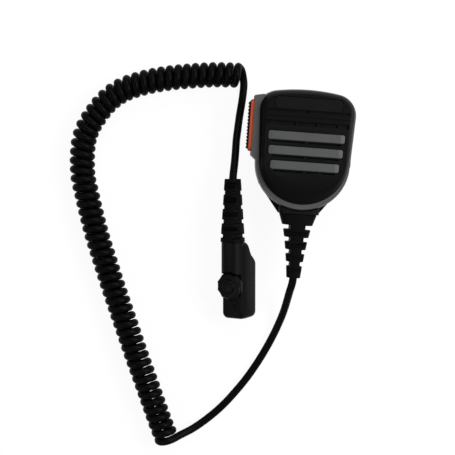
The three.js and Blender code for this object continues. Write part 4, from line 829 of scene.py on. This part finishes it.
def swivel_screw():
    foot, shoulder, end = SCREW_HEAD_Z, SCREW_HEAD_Z + SCREW_HEAD, BACK_Z + 4.6
    turning = turned([
        (0, foot), (SWIVEL_HEAD_R - 0.4, foot), (SWIVEL_HEAD_R - 0.12, foot + 0.12),
        (SWIVEL_HEAD_R, foot + 0.4), (SWIVEL_HEAD_R, shoulder),
        (SWIVEL_SHOULDER_R, shoulder), (SWIVEL_SHOULDER_R, BASE_TOP_Z),
        (SWIVEL_THREAD_R, BASE_TOP_Z), (SWIVEL_THREAD_R, end), (0, end),
    ])
    return cut(turning, box((-3, 3), (-0.5, 0.5), (foot - 1, foot + 0.8)))


def case_screw(x, y):
    foot, seat = BACK_Z + 0.4, BACK_Z + 2.2
    turning = turned([
        (0, foot), (1.7, foot), (2.05, foot + 0.2), (2.2, foot + 0.6), (2.2, seat), (1, seat),
        (1, seat + 16.2), (0, seat + 17),
    ], x, y)
    cross = [box((x - w, x + w), (y - h, y + h), (foot - 1, foot + 0.9)) for w, h in ((1.3, 0.3), (0.3, 1.3))]
    return cut(turning, *cross)


place("fine_clip_base", clip_base(), CLIP_BLACK, "clip_swivel", rounding=0.35)
place("fine_clip_arm", clip_arm(), CLIP_BLACK, "clip_arm", rounding=0.35)
spring = wire("fine_clip_spring", torsion_spring(), SPRING_R * MM, STEEL)
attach(spring, "clip_swivel")
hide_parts("clip_spring")
place("fine_swivel_screw", swivel_screw(), STEEL, "head", rounding=0.12)
for i, (x, y) in enumerate(SCREW_PLACES):
    place(f"fine_case_screw_{i + 1}", case_screw(x, y), SCREW_BLACK, "head", rounding=0.06)

# ------------------------------------------------------------------ plug

plug_place = (Matrix.Translation((-28.9, -82.5, 7.2)) @ Matrix.Rotation(math.radians(4), 4, "Z")
              @ Matrix.Rotation(math.radians(-33), 4, "Y"))
PLUG_HALF, PLUG_FOOT, PLUG_HEAD, PLUG_CORNER = 7.5, -20.5, 26, 3
PLUG_BACK, PLUG_SEAM, PLUG_FRONT, PLUG_CORD_Z = -4.9, 4.3, 13, 12
PLUG_NECK_R = 6.75
KNOB_R, KNOB_BASE, KNOB_TOP, CAP_R, CAP_TOP = 8.25, 13.3, 17.9, 4.3, 19.2
KNOB_SCREW_BORE_R, LOBE_DEPTH, LOBE_ROUNDNESS, LOBES, KNOB_SIDES = 2.1, 0.6, 0.8, 10, 160
CONTACT_Y = 8
PLUG_SCREW_PLACES = [(-4.2, -13), (4.2, -13)]


def plug_ring(at, half, bottom, top):
    return at, rectangle((-half, half), (bottom, top), PLUG_CORNER)


def screw_bores(start, end):
    """Cutters for the bores of the knob's screw and of the two plug screws."""
    return [prism("z", circle(0, 0, 2.3), start, end),
            *[prism("z", circle(x, y, 1.1), start, min(end, 10)) for x, y in PLUG_SCREW_PLACES]]


def plug_room():
    return box((-5.1, 5.1), (3.6, 17.6), (-0.4, 9))


def plug_back_shell():
    back_z, half, foot = PLUG_BACK, PLUG_HALF, PLUG_FOOT
    shell = loft("z", [
        plug_ring(back_z, 5.5, -18, 13), plug_ring(back_z + 0.3, 6.3, -18.9, 13.8),
        plug_ring(back_z + 0.8, 6.8, -19.5, 14.6), plug_ring(back_z + 1.5, 7.15, -20, 15.4),
        plug_ring(back_z + 2.4, 7.4, -20.3, 16), plug_ring(-0.6, half, foot, 17.6),
        plug_ring(1.6, half, foot, 19), plug_ring(PLUG_SEAM - GAP, half, foot, 22.6),
    ])
    return cut(
        shell, plug_room(), *screw_bores(back_z - 1, PLUG_SEAM), prism("z", circle(0, 0, 3.7), -2, 0),
        box((-4.9, 4.9), (CONTACT_Y - 4.3, CONTACT_Y + 4.3), (back_z - 1, 0)),
        *[prism("z", circle(x, y, 1.9), back_z - 1, back_z + 2) for x, y in PLUG_SCREW_PLACES],
    )


def plug_cheek(side):
    """Cutter that narrows one side of the front shell towards the plug's neck."""
    outer = side * (PLUG_HALF + 1)

    def section(inner, top_z):
        return rectangle((PLUG_SEAM - 1, top_z), tuple(sorted((side * inner, outer))))

    return loft("y", [(20, section(PLUG_HALF, PLUG_CORD_Z)),
                      (PLUG_HEAD + 1, section(PLUG_NECK_R, PLUG_CORD_Z + 8))])


def plug_front_shell():
    seam, front, half, foot, head = PLUG_SEAM, PLUG_FRONT, PLUG_HALF, PLUG_FOOT, PLUG_HEAD
    shell = loft("z", [
        plug_ring(seam, half, foot, 23.2), plug_ring(seam + 1, half, foot, 25),
        plug_ring(seam + 2.2, half, foot, head),
        plug_ring(front - 2.4, 7.4, foot + 0.3, head), plug_ring(front - 1.5, 7.1, foot + 0.7, head),
        plug_ring(front - 0.8, 6.7, foot + 1.3, head), plug_ring(front - 0.25, 6.1, foot + 2, head),
        plug_ring(front, 5.5, foot + 2.8, head),
    ])
    hump = prism("y", circle(PLUG_CORD_Z, 0, PLUG_NECK_R, 64), KNOB_R - 1, head)
    platform = prism("z", rectangle((-4.6, 4.6), (foot + 2.6, -9.6), 2), front - 1, front + 0.5)
    thumb_stop = prism("z", circle(0, foot + 6.6, 2.6), front, front + 1)
    return cut(
        join(shell, hump, platform, thumb_stop), plug_cheek(-1), plug_cheek(1), plug_room(),
        *screw_bores(seam - 1, 30),
        prism("z", circle(0, 0, KNOB_R + 0.7, 72), front - 0.4, 30),
        prism("y", circle(PLUG_CORD_Z, 0, 3.5), 15, head + 1),
        prism("y", circle(PLUG_CORD_Z, 0, 4.6), head - 5.6, head - 3.8),
        box((-3, 3), (14, 17.6), (6, PLUG_CORD_Z)),
    )


def knob():
    def rim(at, grow):
        points = []
        for i in range(KNOB_SIDES):
            angle = 2 * math.pi * i / KNOB_SIDES
            wave = abs(math.cos(LOBES / 2 * angle)) ** LOBE_ROUNDNESS
            radius = KNOB_R + grow - LOBE_DEPTH * wave
            points.append((radius * math.cos(angle), radius * math.sin(angle)))
        return at, points

    body = loft("z", [
        rim(KNOB_BASE, -0.7), rim(KNOB_BASE + 0.3, -0.2), rim(KNOB_BASE + 0.7, 0), rim(KNOB_TOP - 1.3, 0),
        rim(KNOB_TOP - 0.7, -0.35), rim(KNOB_TOP - 0.25, -0.85), rim(KNOB_TOP, -1.5),
    ])
    return cut(body, prism("z", circle(0, 0, CAP_R + GAP), KNOB_TOP - 1.4, KNOB_TOP + 1),
               prism("z", circle(0, 0, KNOB_SCREW_BORE_R), KNOB_BASE - 1, KNOB_TOP - 1.8))


def knob_cap():
    dome = [(CAP_R * math.cos(a), KNOB_TOP - 0.2 + (CAP_TOP - KNOB_TOP + 0.2) * math.sin(a))
            for a in (i / 10 * math.pi / 2 for i in range(10))]
    return turned([(0, KNOB_TOP - 1.1), (CAP_R, KNOB_TOP - 1.1), *dome, (0, CAP_TOP)])


PLUG_STATIONS = [(0, 6.95, 6.95), (37.7, 4.6, 4.6)]
plug_relief_place = plug_place @ Matrix(((-1, 0, 0, 0), (0, 0, 1, PLUG_HEAD + GAP), (0, 1, 0, PLUG_CORD_Z),
                                         (0, 0, 0, 1)))
plug_relief = strain_relief(PLUG_STATIONS, first=2.6, pitch=8.6, side=2.2, face=2.2, core=3.5,
                            core_shrink=0.2, root=relief_root(r=3.2, flange_r=4.2, length=5.5, flange=1.4))
place("fine_plug_back_shell", plug_back_shell(), PLUG_BLACK, "head", matrix=plug_place)
place("fine_plug_front_shell", plug_front_shell(), PLUG_BLACK, "head", matrix=plug_place)
place("fine_knob", knob(), KNOB_BLACK, "thumb_knob", matrix=plug_place, rounding=0.15)
place("fine_knob_cap", knob_cap(), KNOB_BLACK, "thumb_knob", matrix=plug_place, rounding=0.1)
place("fine_plug_strain_relief", plug_relief, RUBBER, "head", rounding=0.35,
      matrix=plug_relief_place, clamp=False)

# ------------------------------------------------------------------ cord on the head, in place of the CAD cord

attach(cord, "head")
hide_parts("cord_lead_mic", "cord_coil", "cord_lead_plug")

# ------------------------------------------------------------------ floor and light

FLOOR_HALF = 3.0
FLOOR_COLOUR = (0.85, 0.85, 0.85, 1)
FLOOR_SHOWN = 0.93  # share of plain white in what the camera sees of the floor, which leaves its shadow
WORLD_LEVEL = 0.35  # strength with which the world lights the object


def background_rays(tree, strength):
    """The strength for rays that show the background, from the camera or off a gloss, and 0 for the rest."""
    rays = tree.nodes.new("ShaderNodeLightPath").outputs
    shown = math_node(tree, "MAXIMUM", rays["Is Camera Ray"], rays["Is Glossy Ray"])
    shown = math_node(tree, "MAXIMUM", shown, rays["Is Transmission Ray"])
    return math_node(tree, "MULTIPLY", shown, strength)


def floor_material():
    look = bpy.data.materials.new("floor")
    look.use_nodes = True
    tree = look.node_tree
    tree.nodes.clear()
    diffuse = tree.nodes.new("ShaderNodeBsdfDiffuse")
    diffuse.inputs["Color"].default_value = FLOOR_COLOUR
    white = tree.nodes.new("ShaderNodeEmission")
    mixed = tree.nodes.new("ShaderNodeMixShader")
    output = tree.nodes.new("ShaderNodeOutputMaterial")
    feed(tree, mixed.inputs[0], background_rays(tree, FLOOR_SHOWN))
    feed(tree, mixed.inputs[1], diffuse.outputs[0])
    feed(tree, mixed.inputs[2], white.outputs[0])
    feed(tree, output.inputs["Surface"], mixed.outputs[0])
    return look


floor_mesh = bpy.data.meshes.new("floor")
floor_corners = [(x * FLOOR_HALF, y * FLOOR_HALF, 0) for x, y in ((-1, -1), (1, -1), (1, 1), (-1, 1))]
floor_mesh.from_pydata(floor_corners, [], [(0, 1, 2, 3)])
floor_mesh.materials.append(floor_material())
floor = bpy.data.objects.new("floor", floor_mesh)
bpy.context.scene.collection.objects.link(floor)

world = bpy.data.worlds.new("studio")
bpy.context.scene.world = world
world.use_nodes = True
sky = world.node_tree
background = sky.nodes["Background"]
background.inputs["Color"].default_value = (1, 1, 1, 1)
feed(sky, background.inputs["Strength"], range_node(sky, background_rays(sky, 1.0), (0, 1), (WORLD_LEVEL, 1)))


def softbox(name, place_at, aim, size, watts):
    data = bpy.data.lights.new(name, "AREA")
    data.shape = "RECTANGLE"
    data.size, data.size_y = size
    data.energy = watts
    lamp = bpy.data.objects.new(name, data)
    lamp.location = place_at
    lamp.rotation_euler = (Vector(aim) - Vector(place_at)).to_track_quat("-Z", "Y").to_euler()
    bpy.context.scene.collection.objects.link(lamp)


softbox("key", (0.75, 0.15, 0.85), (0, -0.03, 0), (0.6, 0.6), 13)
softbox("top", (0.1, 0.9, 0.8), (0, 0, 0), (0.8, 0.4), 7)
softbox("fill", (-0.8, -0.5, 0.8), (-0.05, -0.05, 0), (0.8, 0.8), 3)

bpy.context.view_layer.update()
